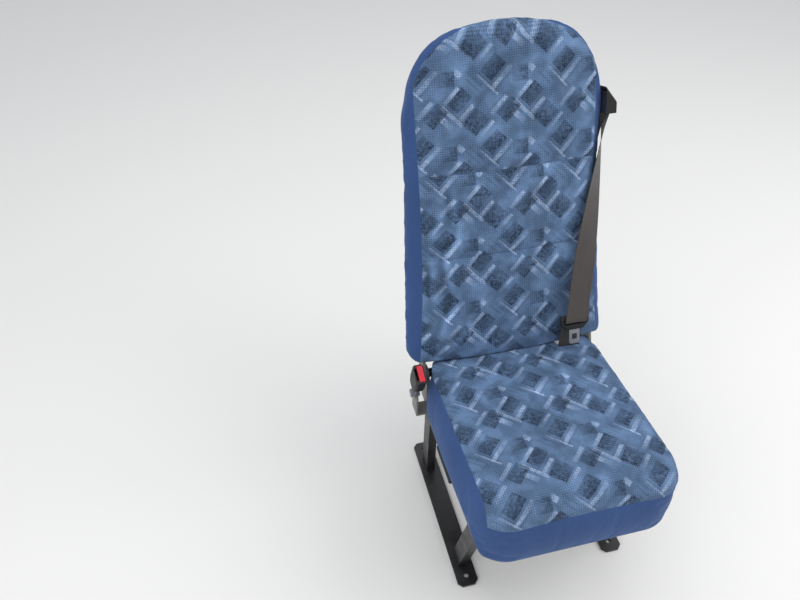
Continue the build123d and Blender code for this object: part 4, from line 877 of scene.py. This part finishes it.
# Guide bar's axis (backrest places) and the webbing's distance from it, the tongue's slot and half the run through it,
# the lap strand's plane, and the anchor bar's middle with the loop's reach beyond and beside it
GUIDE = np.array([214.0, 42.0, 495.0])
WRAP = 5.0
TONGUE = np.array([LAP_X, 92.0, 464.0])
SLOT_SLANT = math.radians(30.0)
SLOT_RUN = 9.0 * np.array([0.0, math.cos(SLOT_SLANT), -math.sin(SLOT_SLANT)])
LAP_Y = 97.5
LOOP_Z = 287.0
LOOP_RISE = 5.2
LOOP_HALF = 2.4
# Rear strand: its plane beside the padding, its drops below the guide where it bends, and its slopes above and below
REAR_X = 203.7
REAR_DROPS = (555.0, 195.0, 45.0)
REAR_STEEP, REAR_SLIGHT = math.tan(math.radians(21.5)), math.tan(math.radians(3.8))
# Shoulder strand: share of the way from the guide to the slot, and the turn of its width there in degrees
SHOULDER_TWIST = (
    (0, 90), (0.015, 90), (0.05, 80), (0.10, 68), (0.20, 56), (0.31, 44), (0.42, 32), (0.53, 20), (0.72, 0), (1, 0),
)
SIDEWAYS = np.array([[1.0, 0.0, 0.0]])
REARWARD = from_back([(0, 1, 0)]) - from_back([(0, 0, 0)])


def rear_strand(material):
    """Rear strand: from the retractor's mouth up along the padding's side, then half round the guide's bar."""
    corners = []
    for drop in REAR_DROPS:
        back = min(drop, REAR_DROPS[1]) * REAR_STEEP + max(drop - REAR_DROPS[1], 0) * REAR_SLIGHT
        corners.append((REAR_X, GUIDE[1] + back, GUIDE[2] - drop))
    run = soften(along_path([*corners, GUIDE - (WRAP, 0, 0)], 6.0), 6)
    turn = np.linspace(math.pi, 0, 13)[1:, None]
    arc = GUIDE + WRAP * np.concatenate([np.cos(turn), 0 * turn, np.sin(turn)], 1)
    centre = from_back(np.concatenate([run, arc]))
    return webbing_strip("webbing_rear_strand", "webbing_rear", centre, REARWARD, material)


def shoulder_strand(material):
    """Shoulder strand: straight from the guide's bar to the tongue's slot, its width turning on the way."""
    start, end = from_back(GUIDE + (WRAP, 0, 0)), TONGUE - SLOT_RUN
    share = np.linspace(0, 1, 90) ** 1.15
    twist = soften(np.interp(share, *zip(*SHOULDER_TWIST))[:, None], 8)
    run = start + (end - start) * share[:, None]
    across = SIDEWAYS * np.cos(np.radians(twist)) + REARWARD * np.sin(np.radians(twist))
    slot = along_path([end, TONGUE], 1.5)[1:]
    centre = np.concatenate([run, slot])
    centre[2:] = soften(centre[1:], 5)[1:]
    across = np.concatenate([across, SIDEWAYS.repeat(len(slot), 0)])
    return webbing_strip("webbing_shoulder_strand", "webbing_shoulder", centre, across, material)


def lap_strand(material):
    """Lap strand: out of the slot, down through the junction and round the anchor plate's bar."""
    near, far = LAP_Y - LOOP_HALF, LAP_Y + LOOP_HALF
    high, low = LOOP_Z + LOOP_RISE, LOOP_Z - LOOP_RISE
    neck = high + 14
    run = soften(along_path(
        [TONGUE, TONGUE + SLOT_RUN, (LAP_X, LAP_Y, TONGUE[2] - 32), (LAP_X, LAP_Y, neck)], 2.5), 8)
    down = np.linspace((LAP_X, near, high), (LAP_X, near, low), 5)[:-1]
    turn = np.linspace(math.pi, 0, 9)[:, None]
    bend = np.concatenate([LAP_X + 0 * turn, LAP_Y + LOOP_HALF * np.cos(turn), low - LOOP_HALF * np.sin(turn)], 1)
    back = np.linspace((LAP_X, far, low), (LAP_X, far, high), 5)[1:]
    close = along_path([(LAP_X, far, high), (LAP_X, LAP_Y + 1.3, neck)], 4.0)[1:]
    centre = np.concatenate([run, down, bend, back, close])
    joint = len(run)
    centre[joint - 3:joint + 3] = soften(centre[joint - 4:joint + 4], 3)[1:-1]
    return webbing_strip("webbing_lap_strand", "webbing_lap", centre, SIDEWAYS, material)


class SeatSizes(bpy.types.PropertyGroup):
    """Sizes that a user would change."""
    lens: bpy.props.FloatProperty(
        name="Lens", description="Camera's focal length", default=32.8, min=10.0, unit="CAMERA")
    yaw: bpy.props.FloatProperty(
        name="Yaw", description="Camera's turn towards the wall side", default=math.radians(14.0), subtype="ANGLE")
    pitch: bpy.props.FloatProperty(
        name="Pitch", description="Camera's downward tilt", default=math.radians(41.7), subtype="ANGLE")
    floor_half: bpy.props.FloatProperty(
        name="Floor", description="Half the width of the floor", default=4.2, min=1.0, unit="LENGTH")


def colour_property(name, description, code):
    """Colour that starts at an sRGB hex value."""
    return bpy.props.FloatVectorProperty(
        name=name, description=description, subtype="COLOR", size=4, min=0.0, max=1.0, default=hex_colour(code))


class SeatColours(bpy.types.PropertyGroup):
    """Colours that a user would change."""
    dark_square: colour_property("Dark square", "Moquette's darkest squares", "#182334")
    ground: colour_property("Ground", "Ground between the squares", "#4A607C")
    mid_bar: colour_property("Mid bar", "Moquette's dull bars", "#5D7697")
    light_bar: colour_property("Light bar", "Moquette's lightest bars", "#95A8C5")
    side_cloth: colour_property("Side cloth", "Plain velour of sides and borders", "#354E7C")
    webbing: colour_property("Webbing", "Belt webbing", "#3E3936")
    black_enamel: colour_property("Black enamel", "Tubes and floor rails", "#161618")
    grey_enamel: colour_property("Grey enamel", "Hinge plates and brackets", "#6E6D68")
    zinc: colour_property("Zinc", "Plated steel", "#909297")
    black_plastic: colour_property("Black plastic", "Belt mouldings", "#151415")
    red_plastic: colour_property("Red plastic", "Buckle button", "#C0152C")
    floor: colour_property("Floor", "Studio floor", "#E6E5E2")


def materials_by_name(context):
    """Every finish of the seat, made once."""
    colours = context.scene.seat_colours
    if "Wool moquette" not in bpy.data.materials:
        moquette(colours)
        side_cloth(colours)
        belt_webbing(colours)
        enamel("Black stoved enamel", colours.black_enamel, 0.42)
        enamel("Grey stoved enamel", colours.grey_enamel, 0.48)
        zinc_steel(colours)
        moulded_plastic("Black moulded nylon", colours.black_plastic, 0.5)
        moulded_plastic("Red moulded ABS", colours.red_plastic, 0.35)
    return bpy.data.materials


class SEAT_OT_backrest(bpy.types.Operator):
    """Makes the backrest's padding"""
    bl_idname = "seat.backrest"
    bl_label = "Backrest padding"

    def execute(self, context):
        backrest_padding(materials_by_name(context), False)
        return {"FINISHED"}


class SEAT_OT_cushion(bpy.types.Operator):
    """Makes the seat cushion's padding"""
    bl_idname = "seat.cushion"
    bl_label = "Seat cushion"

    def execute(self, context):
        cushion_padding(materials_by_name(context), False)
        return {"FINISHED"}


class SEAT_OT_belt(bpy.types.Operator):
    """Makes the belt's three strands"""
    bl_idname = "seat.belt"
    bl_label = "Belt webbing"

    def execute(self, context):
        webbing = materials_by_name(context)["Polyester webbing"]
        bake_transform(rear_strand(webbing))
        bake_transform(shoulder_strand(webbing))
        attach(lap_strand(webbing), "base")
        return {"FINISHED"}


FINISH_OF_SLOT = {
    "black_enamel": "Black stoved enamel",
    "grey_enamel": "Grey stoved enamel",
    "zinc_steel": "Zinc-plated steel",
    "black_plastic": "Black moulded nylon",
    "red_plastic": "Red moulded ABS",
    "belt_webbing": "Polyester webbing",
    "seat_cloth": "Plain velour",
}


class SEAT_OT_hard_parts(bpy.types.Operator):
    """Gives the steel and moulded parts their finishes"""
    bl_idname = "seat.hard_parts"
    bl_label = "Steel and moulded parts"

    def execute(self, context):
        finishes = materials_by_name(context)
        for part in frame["record"]["subparts"]:
            mesh = frame["nodes"][part["node"]].data
            mesh.materials.clear()
            mesh.materials.append(finishes[FINISH_OF_SLOT[part["material_slot"]]])
        return {"FINISHED"}


# Camera and lamps in metres. Each lamp: name, place, the point it faces, width, watts
CAMERA_PLACE = (-0.507, -0.916, 1.535)
LAMPS = (
    ("window_light", (2.2, -0.6, 2.6), (0, 0.1, 0.6), 2.2, 44),
    ("aisle_light", (-2.4, -1.6, 2.2), (0, 0, 0.5), 2.4, 30),
    ("roof_light", (-0.2, 0.4, 3.2), (0, 0, 0.4), 2.6, 26),
)


class SEAT_OT_stage(bpy.types.Operator):
    """Sets the floor, the lights and the camera"""
    bl_idname = "seat.stage"
    bl_label = "Studio"

    def execute(self, context):
        scene = context.scene
        sizes, colours = scene.seat_sizes, scene.seat_colours
        bpy.ops.mesh.primitive_plane_add(size=2 * sizes.floor_half, location=(0, 0, -0.5 * MM))
        floor = context.object
        floor.name = "studio_floor"
        floor.data.materials.append(make_material("Matt paper", [], {"Base Color": colours.floor, "Roughness": 0.95}))
        for name, place, aim, width, power in LAMPS:
            light = bpy.data.lights.new(name, "AREA")
            light.size = width
            light.energy = power
            lamp = bpy.data.objects.new(name, light)
            lamp.location = place
            lamp.rotation_euler = (Vector(aim) - Vector(place)).to_track_quat("-Z", "Y").to_euler()
            scene.collection.objects.link(lamp)
        world = bpy.data.worlds.new("Studio air")
        world.use_nodes = True
        air = world.node_tree
        air.nodes["Background"].inputs["Color"].default_value = (0.93, 0.95, 1.0, 1.0)
        for row in (
            ("path", "LightPath", {}, {}),
            maths("seen", "MAXIMUM", "path:Is Camera Ray", "path:Is Glossy Ray"),
            maths("seen_through", "MAXIMUM", "seen", "path:Is Transmission Ray"),
            ranged("level", "seen_through", 0.68, 0.97, 0.0, 1.0),
        ):
            add_node(air, *row)
        air.links.new(air.nodes["level"].outputs[0], air.nodes["Background"].inputs["Strength"])
        scene.world = world
        camera = bpy.data.objects.new("camera", bpy.data.cameras.new("camera"))
        camera.data.lens = sizes.lens
        camera.location = CAMERA_PLACE
        camera.rotation_euler = (math.pi / 2 - sizes.pitch, 0.0, -sizes.yaw)
        scene.collection.objects.link(camera)
        scene.camera = camera
        scene.view_settings.view_transform = "Standard"
        return {"FINISHED"}


class SEAT_PT_panel(bpy.types.Panel):
    """Lists the seat's pieces"""
    bl_label = "Seat"
    bl_idname = "SEAT_PT_panel"
    bl_space_type = "VIEW_3D"
    bl_region_type = "UI"
    bl_category = "Seat"

    def draw(self, context):
        for operator in OPERATORS:
            self.layout.operator(operator.bl_idname)
        for group in (context.scene.seat_sizes, context.scene.seat_colours):
            for name in group.__annotations__:
                self.layout.prop(group, name)


OPERATORS = (SEAT_OT_hard_parts, SEAT_OT_backrest, SEAT_OT_cushion, SEAT_OT_belt, SEAT_OT_stage)
CLASSES = (SeatSizes, SeatColours, *OPERATORS, SEAT_PT_panel)


def register():
    """Registers the classes and both groups of settings."""
    for cls in CLASSES:
        bpy.utils.register_class(cls)
    bpy.types.Scene.seat_sizes = bpy.props.PointerProperty(type=SeatSizes)
    bpy.types.Scene.seat_colours = bpy.props.PointerProperty(type=SeatColours)


def unregister():
    """Takes back what register did."""
    del bpy.types.Scene.seat_colours
    del bpy.types.Scene.seat_sizes
    for cls in reversed(CLASSES):
        bpy.utils.unregister_class(cls)


def main():
    """Registers the add-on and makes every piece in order."""
    register()
    bpy.ops.seat.hard_parts()
    bpy.ops.seat.backrest()
    bpy.ops.seat.cushion()
    bpy.ops.seat.belt()
    bpy.ops.seat.stage()


if __name__ == "__main__":
    main()
